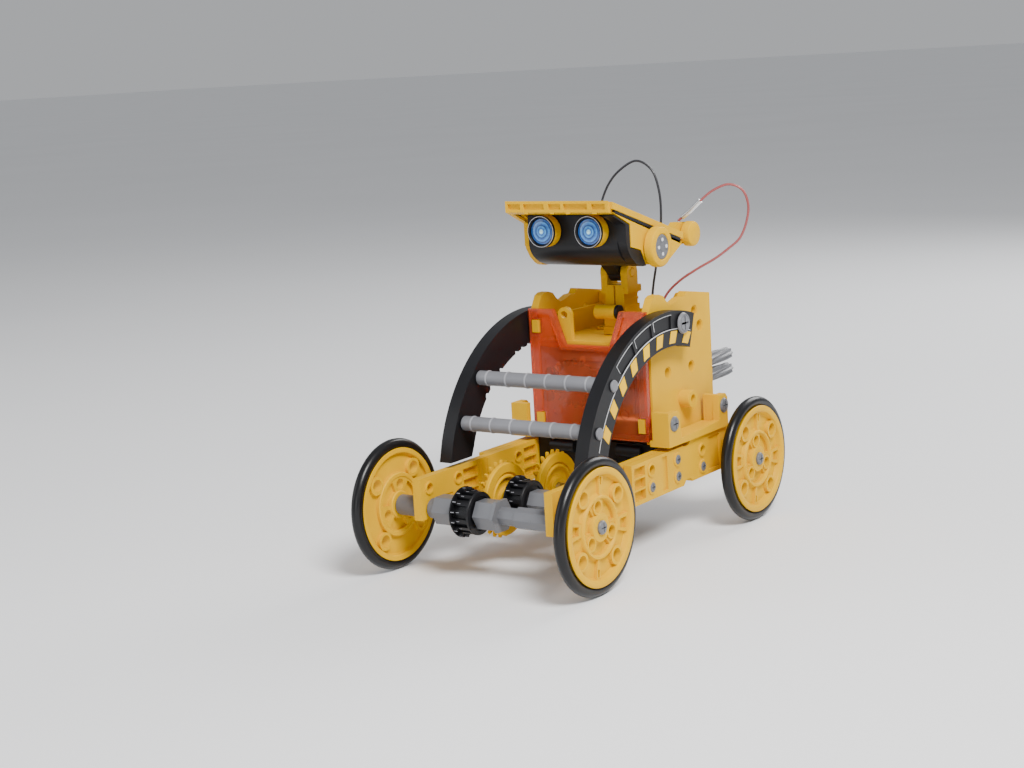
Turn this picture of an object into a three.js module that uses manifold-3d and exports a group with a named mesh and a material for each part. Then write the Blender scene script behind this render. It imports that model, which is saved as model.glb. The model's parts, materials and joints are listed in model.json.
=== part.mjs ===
// A solar robot on four wheels: an open gear train between two front arms, a torso with a
// clear red cover between two curved arches, and a tilting head with a solar panel roof.
// Millimetres. +Z is up, -Y is the front, +X is the robot's left. The origin is on the
// floor, halfway between the two axles.
import * as THREE from 'three';
import { mergeVertices } from 'three/addons/utils/BufferGeometryUtils.js';
import Module from 'manifold-3d';

const wasm = await Module();
wasm.setup();

// ---------------------------------------------------------------- driving dimensions
const GAP = 0.3; // between two pieces that touch
const WHEEL_RADIUS = 22.5; // over the tyre
const WHEEL_X = 40.56; // wheel mid-plane from the centre line
const AXLE_Y = 53; // half the wheelbase
const AXLE_Z = WHEEL_RADIUS;
const AXLE_RADIUS = 2;
const BEARING_RADIUS = 2.15; // hole that a turning shaft runs in
const BORE_RADIUS = AXLE_RADIUS + GAP; // hole that is fixed to its shaft

const TYRE_SECTION = 1.93;
const HOLE_RADIUS = 1.6; // the kit's plug hole
const RING_RADIUS = 2.3; // raised ring around a plug hole
const RING_HEIGHT = 0.5;

const GEAR_MODULE = 1;
const SMALL_TEETH = 15;
const LARGE_TEETH = 25;
const GEAR_CENTRES = (GEAR_MODULE * (SMALL_TEETH + LARGE_TEETH)) / 2;
const MIDDLE_Y = -AXLE_Y + GEAR_CENTRES;
const OUTPUT_Y = MIDDLE_Y + GEAR_CENTRES;
const FIRST_MESH_X = -10.2; // where the drive gear meets the middle shaft
const SECOND_MESH_X = -2.7; // where the middle shaft meets the output gear
// Along X from the plane where two gears meet, with the radii beside the teeth.
const SMALL_GEAR = { start: -1.3, teeth: -0.7, step: 0.7, flange: 4.8, end: 5.6, low: 7.2 };
const LARGE_GEAR = { teeth: -0.5, web: 0.5, flange: 0.9, face: 2.5, radius: 12.5 };

const ARM = { x0: 25.1, x1: 28.2, y0: -58.5, y1: 12.7, z0: 19.1, z1: 33.4 };
const RAIL = { x0: 28.5, x1: 31.6, y0: -16, y1: 59 };
const PLATE = { x0: 21.6, x1: 24.6, y0: 10.9, y1: 53.5, z0: 34.6 };
const COVER = { y0: 8.4, y1: 10.6, half: 24, z0: 36, z1: 81.5 };
const GEARBOX = { y0: 11.6, y1: 48, z0: 20, z1: 34.2, wall: 2.2 };
const DECK = { z0: 67.5, z1: 70, y0: 11.2, y1: 50.5 };

const ARCH = { y: 15.14, z: 23.81, inner: 45, outer: 57.2, x0: 24.9, x1: 29.9 };
const ARCH_BACK_ANGLE = 18; // degrees from straight up, towards the back
const ARCH_FRONT_ANGLE = -71;
const ARCH_FOOT_Z = 35.2;
const CROSSBAR_RADIUS_FROM_CENTRE = 53.2;

const PIVOT = { y: 31, z: 92.3 };
const ROOF = { y0: -6.3, z0: 121.2, y1: 41, z1: 105.7, thickness: 2.3, half: 22 };
const EYE = { x: 9.75, z: 110.2, outer: 5.6, inner: 4.9, front: -2, back: 2.6, well: 3 };
const EAR = { y: 20, z: 102.9, radius: 7 };
const KNOB = { y: 49, z: 104.3, radius: 4.5 };
const WIRE_RADIUS = 0.5;
const MOTOR = { x: 2, z: 49, radius: 9 };
const MOTOR_TEETH = 10;
const INNER_TEETH = 16;
const INNER_GEAR = { x: -10, z: 54 };

// ---------------------------------------------------------------- materials
const COLOURS = {
  yellow: [0xf2b60a, 0.35, 0],
  black: [0x16171a, 0.4, 0],
  grey: [0x7d8087, 0.45, 0],
  rubber: [0x101012, 0.55, 0],
  red: [0xc62a12, 0.15, 0],
  steel: [0x9da1a6, 0.35, 1],
  panel: [0x101a33, 0.2, 0],
  iris: [0x2f6fd0, 0.15, 0],
  redWire: [0xb0342b, 0.5, 0],
  blackWire: [0x202126, 0.5, 0],
};

function material(colourName) {
  const [color, roughness, metalness] = COLOURS[colourName];
  return new THREE.MeshStandardMaterial({ color, roughness, metalness });
}

// ---------------------------------------------------------------- solids
function solid(geometry) {
  const bare = geometry.index ? geometry.toNonIndexed() : geometry.clone();
  bare.deleteAttribute('normal');
  bare.deleteAttribute('uv');
  const merged = mergeVertices(bare, 1e-4);
  const mesh = new wasm.Mesh({
    numProp: 3,
    vertProperties: new Float32Array(merged.attributes.position.array),
    triVerts: new Uint32Array(merged.index.array),
  });
  return new wasm.Manifold(mesh);
}

function geometryOf(shape) {
  const mesh = shape.getMesh();
  const geometry = new THREE.BufferGeometry();
  geometry.setAttribute('position', new THREE.BufferAttribute(mesh.vertProperties, 3));
  geometry.setIndex(new THREE.BufferAttribute(mesh.triVerts, 1));
  geometry.computeVertexNormals();
  return geometry;
}

function join(...shapes) {
  return shapes.reduce((whole, shape) => whole.add(shape));
}

function cut(shape, ...tools) {
  return tools.reduce((whole, tool) => whole.subtract(tool), shape);
}

function shapeOf(points) {
  return new THREE.Shape(points.map(([a, b]) => new THREE.Vector2(a, b)));
}

function extrusion(points, depth) {
  return new THREE.ExtrudeGeometry(shapeOf(points), { depth, bevelEnabled: false });
}

// An outline of [y, z] points, from x0 to x1.
function alongX(points, x0, x1) {
  const geometry = extrusion(points, Math.abs(x1 - x0));
  geometry.rotateY(Math.PI / 2).rotateX(Math.PI / 2);
  geometry.translate(Math.min(x0, x1), 0, 0);
  return solid(geometry);
}

// An outline of [x, z] points, from y0 to y1.
function alongY(points, y0, y1) {
  const geometry = extrusion(points, y1 - y0);
  geometry.rotateX(Math.PI / 2).translate(0, y1, 0);
  return solid(geometry);
}

function box(x0, x1, y0, y1, z0, z1) {
  const geometry = new THREE.BoxGeometry(Math.abs(x1 - x0), y1 - y0, z1 - z0);
  geometry.translate((x0 + x1) / 2, (y0 + y1) / 2, (z0 + z1) / 2);
  return solid(geometry);
}

function rodX(radius, x0, x1, y = 0, z = 0, sides = 12) {
  const geometry = new THREE.CylinderGeometry(radius, radius, Math.abs(x1 - x0), sides);
  geometry.rotateZ(Math.PI / 2).translate((x0 + x1) / 2, y, z);
  return solid(geometry);
}

// A hexagonal rod with a corner towards the front.
function hexX(radius, x0, x1) {
  const geometry = new THREE.CylinderGeometry(radius, radius, Math.abs(x1 - x0), 6);
  geometry.rotateY(Math.PI / 6).rotateZ(Math.PI / 2).translate((x0 + x1) / 2, 0, 0);
  return solid(geometry);
}

function rodY(radius, y0, y1, x = 0, z = 0, sides = 16) {
  const geometry = new THREE.CylinderGeometry(radius, radius, y1 - y0, sides);
  geometry.translate(x, (y0 + y1) / 2, z);
  return solid(geometry);
}

function rodZ(radius, z0, z1, x = 0, y = 0, sides = 16) {
  const geometry = new THREE.CylinderGeometry(radius, radius, z1 - z0, sides);
  geometry.rotateX(Math.PI / 2).translate(x, y, (z0 + z1) / 2);
  return solid(geometry);
}

// A profile of [radius, x] points, turned about the X axis.
function turnedX(profile, sides) {
  const points = profile.map(([radius, x]) => new THREE.Vector2(radius, -x));
  const geometry = new THREE.LatheGeometry(points.reverse(), sides);
  geometry.rotateZ(Math.PI / 2);
  return solid(geometry);
}

function circle(radius, y, z, sides) {
  return Array.from({ length: sides }, (_, i) => {
    const turn = (2 * Math.PI * i) / sides;
    return [y + radius * Math.cos(turn), z + radius * Math.sin(turn)];
  });
}

// A point at a distance and an angle from straight up, about the arch's centre.
function archPoint(radius, degrees) {
  const turn = THREE.MathUtils.degToRad(degrees);
  return [ARCH.y + radius * Math.sin(turn), ARCH.z + radius * Math.cos(turn)];
}

// ---------------------------------------------------------------- the scene graph
const robot = new THREE.Group();
const frontAxle = new THREE.Group();
frontAxle.position.set(0, -AXLE_Y, AXLE_Z);
const middleShaft = new THREE.Group();
middleShaft.position.set(0, MIDDLE_Y, AXLE_Z);
const outputShaft = new THREE.Group();
outputShaft.position.set(0, OUTPUT_Y, AXLE_Z);
const rearAxle = new THREE.Group();
rearAxle.position.set(0, AXLE_Y, AXLE_Z);
const head = new THREE.Group();
robot.add(frontAxle, middleShaft, outputShaft, rearAxle, head);

function place(group, name, shape, colourName) {
  const mesh = new THREE.Mesh(geometryOf(shape), material(colourName));
  mesh.name = name;
  group.add(mesh);
  return mesh;
}

const SIDES = [
  { word: 'left', sign: 1 },
  { word: 'right', sign: -1 },
];

// ---------------------------------------------------------------- wheels and axles
// The wheel's outer face points along +X.
const WHEEL_HOLES = { ring: 14, boss: 2.9, hole: 1.9, angles: [38, 128, 218, 308] };
const WHEEL_POCKETS = { inner: 5, outer: 9, width: 40, floor: 0.6, angles: [38, 158, 278] };

function wheelShape() {
  const profile = [
    [BORE_RADIUS, -2.2], [11, -2.2], [11, -0.6], [17.2, -0.6], [17.2, -2], [19.5, -2],
    [17.9, 0], [19.3, 2.2], [18.4, 2.7], [16.8, 2.2], [16.2, 0.9], [10.4, 0.9], [9.8, 2.2],
    [BORE_RADIUS, 2.2], [BORE_RADIUS, -2.2],
  ];
  let shape = turnedX(profile, 20);
  const { ring, boss, hole } = WHEEL_HOLES;
  for (const degrees of WHEEL_HOLES.angles) {
    const turn = THREE.MathUtils.degToRad(degrees);
    const [y, z] = [ring * Math.cos(turn), ring * Math.sin(turn)];
    shape = shape.add(rodX(boss, -1.8, 1.5, y, z, 8));
    shape = shape.subtract(rodX(hole, -3, 3, y, z, 6));
  }
  for (const degrees of WHEEL_POCKETS.angles) {
    shape = shape.subtract(sectorPocket(WHEEL_POCKETS, degrees));
  }
  return shape;
}

// A pocket between two radii, down to its floor.
function sectorPocket({ inner, outer, width, floor }, middle) {
  const edges = [-0.5, 0.5].map((share) => THREE.MathUtils.degToRad(middle + share * width));
  const points = [
    ...edges.map((turn) => [outer * Math.cos(turn), outer * Math.sin(turn)]),
    ...edges.reverse().map((turn) => [inner * Math.cos(turn), inner * Math.sin(turn)]),
  ];
  return alongX(points, floor, 3);
}

function tyreShape() {
  const ring = WHEEL_RADIUS - TYRE_SECTION;
  const sides = 6;
  const profile = Array.from({ length: sides + 1 }, (_, i) => {
    const turn = (2 * Math.PI * (i % sides)) / sides;
    return [ring + TYRE_SECTION * Math.cos(turn), TYRE_SECTION * Math.sin(turn)];
  });
  return turnedX(profile, 28);
}

function addWheels(group, end) {
  for (const { word, sign } of SIDES) {
    const parts = [
      place(group, `wheel_${end}_${word}`, wheelShape(), 'yellow'),
      place(group, `tyre_${end}_${word}`, tyreShape(), 'rubber'),
    ];
    for (const part of parts) {
      part.position.x = sign * WHEEL_X;
      part.rotation.z = sign > 0 ? 0 : Math.PI;
    }
  }
}

const AXLE_END = WHEEL_X + 2.6;
const HUB_INNER = WHEEL_X - 2.2 - GAP;

function addFrontAxle() {
  addWheels(frontAxle, 'front');
  place(frontAxle, 'front_axle', rodX(AXLE_RADIUS, -AXLE_END, AXLE_END), 'steel');
  for (const { word, sign } of SIDES) {
    const tube = rodX(3.5, sign * (ARM.x1 + GAP), sign * HUB_INNER, 0, 0, 12);
    const bored = tube.subtract(rodX(BORE_RADIUS, -AXLE_END, AXLE_END));
    place(frontAxle, `spacer_front_${word}`, bored, 'grey');
  }
  addHexCollar();
  addHexSleeve();
  const gear = smallGear();
  place(frontAxle, 'drive_gear', gear, 'black').position.x = FIRST_MESH_X;
}

const HEX_RADIUS = 5.3; // corner radius of the hexagonal sleeves
const COLLAR_END = -21.4;
const SHOULDER = { x0: 3, x1: 4.3, radius: 6 };

function bored(shape) {
  return shape.subtract(rodX(BORE_RADIUS, -AXLE_END, AXLE_END, 0, 0, 12));
}

function addHexCollar() {
  const gearFace = FIRST_MESH_X + SMALL_GEAR.start - GAP;
  const neck = rodX(3.4, -(ARM.x0 - GAP), COLLAR_END + 1, 0, 0, 12);
  const hex = hexX(HEX_RADIUS, COLLAR_END, gearFace);
  place(frontAxle, 'hex_collar', bored(join(neck, hex)), 'grey');
}

function addHexSleeve() {
  const gearFace = FIRST_MESH_X + SMALL_GEAR.end + GAP;
  const end = ARM.x0 - GAP;
  const hex = hexX(HEX_RADIUS, gearFace, SHOULDER.x0);
  const flange = hexX(SHOULDER.radius, SHOULDER.x0, SHOULDER.x1);
  const narrow = rodX(3.1, SHOULDER.x0, 12, 0, 0, 8);
  const tail = rodX(3.7, 11, end, 0, 0, 8);
  place(frontAxle, 'hex_sleeve', bored(join(hex, flange, narrow, tail)), 'grey');
}

function addRearAxle() {
  addWheels(rearAxle, 'rear');
  const shoulders = SIDES.map(({ sign }) => (
    rodX(3.5, sign * (RAIL.x1 + GAP), sign * HUB_INNER, 0, 0, 12)
  ));
  const centre = rodX(3.2, -(RAIL.x0 - GAP), RAIL.x0 - GAP, 0, 0, 12);
  const axle = rodX(AXLE_RADIUS, -AXLE_END, AXLE_END);
  place(rearAxle, 'rear_axle', join(axle, centre, ...shoulders), 'grey');
}

// ---------------------------------------------------------------- gears
const PRESSURE_ANGLE = THREE.MathUtils.degToRad(20);
const BACKLASH = 0.3;
const ADDENDUM = 0.88;
const DEDENDUM = 1.3;

// Half the angle that a tooth covers at a radius, on an involute flank.
function toothHalfAngle(teeth, radius) {
  const pitch = (GEAR_MODULE * teeth) / 2;
  const base = pitch * Math.cos(PRESSURE_ANGLE);
  const involute = (angle) => Math.tan(angle) - angle;
  const angle = Math.acos(Math.min(1, base / radius));
  const atPitch = Math.PI / (2 * teeth) - BACKLASH / (2 * pitch);
  return atPitch + involute(PRESSURE_ANGLE) - involute(angle);
}

// A gear's outline with one tooth centred on the first axis.
function gearOutline(teeth) {
  const pitch = (GEAR_MODULE * teeth) / 2;
  const radii = [pitch - DEDENDUM, pitch + ADDENDUM];
  const flank = radii.map((radius) => [radius, toothHalfAngle(teeth, radius)]);
  const outline = [];
  for (let tooth = 0; tooth < teeth; tooth += 1) {
    const middle = (2 * Math.PI * tooth) / teeth;
    for (const [radius, half] of flank) {
      outline.push([radius * Math.cos(middle - half), radius * Math.sin(middle - half)]);
    }
    for (const [radius, half] of [...flank].reverse()) {
      outline.push([radius * Math.cos(middle + half), radius * Math.sin(middle + half)]);
    }
  }
  return outline;
}

// Full teeth in a narrow band, turned down beyond it to clear the other gear's flange.
function smallGear() {
  const { start, teeth, step, flange, end, low } = SMALL_GEAR;
  const tip = (GEAR_MODULE * SMALL_TEETH) / 2 + ADDENDUM;
  const rim = alongX(gearOutline(SMALL_TEETH), start + 0.1, end - 0.1);
  const limit = join(rodX(tip + 1, start, step), rodX(low, step - 1, end, 0, 0, 24));
  return bored(join(
    rim.intersect(limit),
    rodX(tip + 0.15, start, teeth, 0, 0, 24),
    rodX(low + 0.1, flange, end, 0, 0, 24),
  ));
}

// The teeth, and beside them a smooth flange with a raised ring on its face.
function largeGear() {
  const { teeth, web, flange, face, radius } = LARGE_GEAR;
  const rim = alongX(gearOutline(LARGE_TEETH), teeth, web);
  const side = turnedX([
    [0, web - 0.1], [11, web - 0.1], [11, flange], [radius, flange], [radius, face],
    [9.2, face], [8.7, face - 0.5], [8.2, face + 0.2], [7.4, face + 0.2], [7, flange + 0.3],
    [4.2, flange + 0.3], [4.2, face], [0, face],
  ], 20);
  return bored(join(rim, side));
}

function addMiddleShaft() {
  place(middleShaft, 'middle_shaft', rodX(AXLE_RADIUS, -ARM.x1, ARM.x1), 'steel');
  const large = place(middleShaft, 'middle_large_gear', largeGear(), 'yellow');
  large.position.x = FIRST_MESH_X;
  const small = place(middleShaft, 'middle_small_gear', smallGear(), 'black');
  small.position.x = SECOND_MESH_X;
  const start = SECOND_MESH_X + SMALL_GEAR.end + GAP;
  const hex = hexX(HEX_RADIUS - 0.7, start, start + 7);
  const tail = rodX(3.3, start + 6, ARM.x0 - GAP, 0, 0, 8);
  place(middleShaft, 'middle_sleeve', bored(join(hex, tail)), 'grey');
}

function addOutputShaft() {
  place(outputShaft, 'output_shaft', rodX(AXLE_RADIUS, -ARM.x1, ARM.x1), 'steel');
  const gear = place(outputShaft, 'output_gear', largeGear(), 'yellow');
  gear.position.x = SECOND_MESH_X;
}

// ---------------------------------------------------------------- arms, rails, brackets
// A raised ring towards the side that the sign names, and the hole through it.
function ringHoles(shape, centres, face, towards) {
  let result = shape;
  for (const [y, z] of centres) {
    result = result.add(rodX(RING_RADIUS, face - towards, face + towards * RING_HEIGHT, y, z, 8));
  }
  for (const [y, z] of centres) {
    result = result.subtract(rodX(HOLE_RADIUS, face - 8, face + 8, y, z, 6));
  }
  return result;
}

// Three pockets over each other, with a rib between each two.
function ladder(face, depth, y0, y1, z0, z1) {
  const pitch = (z1 - z0) / 3;
  return [0, 1, 2].map((row) => {
    const low = z0 + row * pitch + 0.35;
    return box(face, face + depth, y0, y1, low, low + pitch - 0.7);
  });
}

function addArm({ word, sign }) {
  let arm = box(sign * ARM.x0, sign * ARM.x1, ARM.y0, ARM.y1, ARM.z0, ARM.z1);
  const innerFace = sign * ARM.x0;
  const ladders = [[-34.2, -25.8], [2.2, 10]].flatMap(([y0, y1]) => (
    ladder(innerFace, sign * 1.6, y0, y1, 20.6, 32)
  ));
  arm = cut(arm, ...ladders);
  arm = cut(arm, box(innerFace, innerFace + sign * 0.5, -50.2, -40.6, 19.6, 25.4));
  arm = ringHoles(arm, [[-53.6, 29.5], [-37.4, 29.5], [-1.5, 29.5]], innerFace, -sign);
  for (const y of [-AXLE_Y, MIDDLE_Y, OUTPUT_Y]) {
    arm = arm.subtract(rodX(BEARING_RADIUS, sign * 20, sign * 35, y, AXLE_Z));
  }
  place(robot, `arm_${word}`, arm, 'yellow');
}

function addRail({ word, sign }) {
  const outline = [
    [RAIL.y0, 19.2], [18, 19.2], [20, 21], [23, 21], [24, 19.6], [55, 19.6], [RAIL.y1, 18.4],
    [RAIL.y1, 28], [54, 34.5], [23.5, 34.5], [22, 33], [19.5, 33], [18, 33.4], [RAIL.y0, 33.4],
  ];
  const outerFace = sign * RAIL.x1;
  let rail = alongX(outline, sign * RAIL.x0, outerFace);
  rail = cut(rail, ...ladder(outerFace, -sign * 1.8, RAIL.y0 + 1.6, RAIL.y0 + 8.6, 20.3, 32.4));
  rail = cut(rail, box(outerFace, outerFace - sign * 0.8, 4, 7.4, 20.4, 32.2));
  rail = cut(rail, box(outerFace, outerFace - sign * 0.8, 36.4, 44.6, 21.2, 33));
  const holes = [[-3.5, 29.5], [-3.5, 23.5], [14, 29.5], [14, 23.5], [31.4, 29.4], [31.4, 23.4]];
  rail = ringHoles(rail, holes, outerFace, sign);
  rail = rail.subtract(rodX(BEARING_RADIUS, sign * 20, sign * 35, AXLE_Y, AXLE_Z));
  place(robot, `rail_${word}`, rail, 'yellow');
}

const BRACKET_SCREWS = [[10.7, 42.8], [45.9, 42.9]];

function addBracket({ word, sign }) {
  const outer = [
    [7, 34.9], [48.8, 34.9], [48.8, 45.5], [47.5, 47], [42.8, 47], [42.4, 38], [15.4, 36.6],
    [14.9, 45.6], [13.4, 47], [7, 47],
  ];
  const ledge = [[7, 34.9], [48.8, 34.9], [48.8, 37.4], [7, 37]];
  const shape = join(
    alongX(outer, sign * 30.4, sign * 33),
    alongX(ledge, sign * 25.2, sign * 33),
    box(sign * 26.3, sign * 33, 7, 9.6, 34.9, 47),
    box(sign * 26.3, sign * 33, 42.8, 45, 34.9, 47),
  );
  const holes = BRACKET_SCREWS.map(([y, z]) => rodX(1.2, sign * 25, sign * 35, y, z, 8));
  place(robot, `bracket_${word}`, cut(shape, ...holes), 'yellow');
}

function addGearboxBase() {
  const half = PLATE.x1 + 0.2;
  const { y0, y1, z0, z1, wall } = GEARBOX;
  const block = box(-half, half, y0, y1, z0, z1);
  const hollow = box(-half + wall, half - wall, y0 + wall, y1 - wall, z0 - wall, z1 - wall);
  const nose = join(...SIDES.map(({ sign }) => (
    rodX(2.4, sign * 9, sign * 19, y0 + 0.4, z1 - 2.6, 12)
  )));
  const ribs = [-16, -8, 0, 8, 16].map((x) => box(x - 0.6, x + 0.6, y0 - 1.2, y0 + 1, 21, 28));
  place(robot, 'gearbox_base', join(cut(block, hollow), nose, ...ribs), 'black');
}

// ---------------------------------------------------------------- torso
const PIN_AT = archPoint(52.8, 9.6);
const LUGS = [
  { x0: 20, x1: 22.6, z0: 39, z1: 44 },
  { x0: 20, x1: 22.6, z0: 73, z1: 77.5 },
];
const PLATE_BOSS = { at: [31.4, 47.6], radius: 3.1, x1: 29 };

function addSidePlate({ word, sign }) {
  const outline = [
    [PLATE.y0, PLATE.z0], [PLATE.y1, PLATE.z0], [PLATE.y1, 82.6], [36.9, 85.2], [35.4, 83.5],
    [31.9, 83.4], [28.3, 82.2], [25.5, 81.8], [22.9, 83.6], [21, 85.6], [18.3, 86.4],
    [15.7, 86.4], [13.6, 85.6], [12, 83], [PLATE.y0, 81],
  ];
  const face = sign * PLATE.x1;
  let plate = alongX(outline, sign * PLATE.x0, face);
  const lugs = LUGS.map(({ x0, x1, z0, z1 }) => (
    box(sign * x0, sign * x1, COVER.y0 - 0.2, PLATE.y0 + 1, z0, z1)
  ));
  const { at, radius, x1 } = PLATE_BOSS;
  plate = join(plate, ...lugs, rodX(radius, face - sign, sign * x1, ...at, 16));
  const holes = [[42, 77.4], [45.5, 71.8], [22.1, 58.3], [38.6, 58]];
  const through = holes.map(([y, z]) => rodX(1.6, sign * 20, sign * 26, y, z, 10));
  const bossHole = rodX(1.6, sign * (x1 - 2), sign * (x1 + 1), ...at, 10);
  const pinHole = rodX(2, sign * 20, sign * 26, ...PIN_AT, 12);
  place(robot, `side_plate_${word}`, cut(plate, ...through, bossHole, pinHole), 'yellow');
}

const PEG = { x: 19.2, zs: [50.8, 56.6], y1: 75.4, neck: 1.5 };
const INNER_HALF = PLATE.x0 - GAP;

function addBackCover() {
  const y0 = DECK.y1 + GAP;
  const outline = [
    [-INNER_HALF, PLATE.z0], [INNER_HALF, PLATE.z0], [INNER_HALF, 82.4], [12, 82.4],
    [8, 76], [-8, 76], [-12, 82.4], [-INNER_HALF, 82.4],
  ];
  let cover = alongY(outline, y0, PLATE.y1);
  const ribs = [-12, -4, 4].map((x) => (
    box(x - 0.7, x + 0.7, PLATE.y1 - 0.2, PLATE.y1 + 0.8, 42, 66)
  ));
  const frame = cut(
    box(-17, 13, PLATE.y1 - 0.2, PLATE.y1 + 0.8, 38, 70),
    box(-15.6, 11.6, PLATE.y1 - 1, PLATE.y1 + 2, 39.4, 68.6),
  );
  cover = join(cover, frame, ...ribs);
  const holes = PEG.zs.map((z) => rodY(PEG.neck + GAP, 45, 60, PEG.x, z, 12));
  place(robot, 'back_cover', cut(cover, ...holes), 'yellow');
}

// A splined stub on a round neck that stands in the back cover.
function addRearPegs() {
  PEG.zs.forEach((z, index) => {
    const splines = Array.from({ length: 16 }, (_, i) => {
      const turn = (2 * Math.PI * i) / 16;
      const radius = i % 2 ? 2 : 2.6;
      return [PEG.x + radius * Math.cos(turn), z + radius * Math.sin(turn)];
    });
    const stub = alongY(splines, PLATE.y1 + GAP, PEG.y1);
    const neck = rodY(PEG.neck, DECK.y1, PLATE.y1 + 1, PEG.x, z, 12);
    place(robot, ['rear_peg_lower', 'rear_peg_upper'][index], join(stub, neck), 'steel');
  });
}

const WIRE_BOSS = { x: 8.2, y: 42, top: 72 };
const DECK_HOLE = [-12, 40.2];

function addTopDeck() {
  const slab = box(-INNER_HALF, INNER_HALF, DECK.y0, DECK.y1, DECK.z0, DECK.z1);
  const walls = SIDES.map(({ sign }) => (
    box(sign * (INNER_HALF - 2), sign * INNER_HALF, 25, DECK.y1, DECK.z1 - 1, 78)
  ));
  const boss = rodZ(3.2, DECK.z1 - 1, WIRE_BOSS.top, WIRE_BOSS.x, WIRE_BOSS.y, 12);
  const collar = rodZ(3.2, DECK.z1 - 1, DECK.z1 + 0.8, ...DECK_HOLE, 14);
  const tab = join(
    box(-13.6, -8.2, 11.6, 13.6, DECK.z1 - 1, 79.2),
    rodY(2.7, 11.6, 13.6, -10.9, 79.2, 14),
  );
  const tabHole = rodY(1.3, 10, 15, -10.9, 79.2, 10);
  const hole = rodZ(2.4, 60, 75, ...DECK_HOLE, 14);
  const deck = cut(join(slab, ...walls, boss, collar, tab), tabHole, hole);
  place(robot, 'top_deck', deck, 'yellow');
}

function addFrontCover() {
  const { half, z0, z1, y0, y1 } = COVER;
  const outline = [
    [-half, z0], [half, z0], [half, z1], [14, z1], [9.5, 69.2], [-9.5, 69.2], [-14, z1],
    [-half, z1],
  ];
  const inset = [
    [-half + 3.6, z0 + 2], [half - 3.6, z0 + 2], [half - 3.6, z1 - 2], [15.4, z1 - 2],
    [10.9, 67.2], [-10.9, 67.2], [-15.4, z1 - 2], [-half + 3.6, z1 - 2],
  ];
  const slots = SIDES.flatMap(({ sign }) => LUGS.map((lug) => (
    box(sign * (lug.x0 - GAP), sign * (lug.x1 + GAP), 5, 15, lug.z0 - GAP, lug.z1 + GAP)
  )));
  const cover = cut(alongY(outline, y0, y1), alongY(inset, y0 - 1, y0 + 0.8), ...slots);
  place(robot, 'front_cover', cover, 'red');
}

function addMotor() {
  const body = rodY(MOTOR.radius, 22, 48, MOTOR.x, MOTOR.z, 20);
  const flats = [-1, 1].map((sign) => (
    box(-20, 20, 15, 50, MOTOR.z + sign * 12.5 - 5, MOTOR.z + sign * 12.5 + 5)
  ));
  const nose = rodY(3, 20.6, 23, MOTOR.x, MOTOR.z, 12);
  place(robot, 'motor', join(cut(body, ...flats), nose), 'steel');
}

function spurAlongY(teeth, y0, y1, x, z) {
  const outline = gearOutline(teeth).map(([a, b]) => [a + x, b + z]);
  return alongY(outline, y0, y1);
}

function addTorsoGears() {
  const pinion = join(
    spurAlongY(MOTOR_TEETH, 13, 18, MOTOR.x, MOTOR.z),
    rodY(1.2, 17, 20.3, MOTOR.x, MOTOR.z, 10),
  );
  place(robot, 'motor_pinion', pinion, 'black');
  const gear = join(
    spurAlongY(INNER_TEETH, 13.6, 16.4, INNER_GEAR.x, INNER_GEAR.z),
    rodY(3, 12, 30, INNER_GEAR.x, INNER_GEAR.z, 12),
  );
  place(robot, 'gearbox_gear', gear, 'black');
}

// ---------------------------------------------------------------- arches and crossbars
const CROSSBARS = [
  { name: 'crossbar_upper', at: archPoint(CROSSBAR_RADIUS_FROM_CENTRE, -44.6) },
  { name: 'crossbar_lower', at: archPoint(CROSSBAR_RADIUS_FROM_CENTRE, -63.4) },
];

function archOutline() {
  const steps = 14;
  const sweep = (ARCH_FRONT_ANGLE - ARCH_BACK_ANGLE) / steps;
  const angles = Array.from({ length: steps + 1 }, (_, i) => ARCH_BACK_ANGLE + i * sweep);
  const outer = angles.map((degrees) => archPoint(ARCH.outer, degrees));
  const inner = angles.map((degrees) => archPoint(ARCH.inner, degrees)).reverse();
  const footOuter = archPoint(ARCH.outer, -78.6)[0];
  return [...outer, [footOuter, ARCH_FOOT_Z], [footOuter + 12, ARCH_FOOT_Z], ...inner];
}

// Small notches in the arch's inner edge.
function archNotches(sign) {
  return [-8, -13, -18, -32, -37, -42, -47].map((degrees) => {
    const [y, z] = archPoint(ARCH.inner, degrees);
    return rodX(1.3, sign * 20, sign * 35, y, z, 4);
  });
}

function addArch({ word, sign }) {
  let arch = alongX(archOutline(), sign * ARCH.x0, sign * ARCH.x1);
  const holes = CROSSBARS.map(({ at }) => rodX(1.9, sign * 20, sign * 35, ...at, 12));
  arch = cut(arch, ...holes, rodX(2, sign * 20, sign * 35, ...PIN_AT, 12));
  if (sign < 0) {
    arch = cut(arch, ...archNotches(sign));
  }
  place(robot, `arch_${word}`, arch, 'black');
  const head0 = ARCH.x1 + GAP;
  const [y, z] = PIN_AT;
  const pin = join(
    rodX(1.7, sign * (PLATE.x0 + 0.5), sign * (head0 + 0.5), y, z, 12),
    rodX(3.1, sign * head0, sign * (head0 + 1.2), y, z, 16),
  );
  const slot = box(sign * (head0 + 0.7), sign * (head0 + 2), y - 4, y + 4, z - 0.5, z + 0.5);
  place(robot, `arch_pin_${word}`, pin.subtract(slot), 'grey');
}

function crossbarShape() {
  const end = ARCH.x0 - GAP;
  const tenon = ARCH.x1 + GAP;
  const half = [
    [2.7, end], [1.6, end], [1.6, tenon], [2.1, tenon], [2.1, tenon + 0.8], [0, tenon + 0.8],
  ];
  const otherHalf = half.map(([radius, x]) => [radius, -x]).reverse();
  return turnedX([...otherHalf, ...half], 12);
}

function addCrossbars() {
  for (const { name, at } of CROSSBARS) {
    place(robot, name, crossbarShape(), 'grey').position.set(0, ...at);
  }
}

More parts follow.
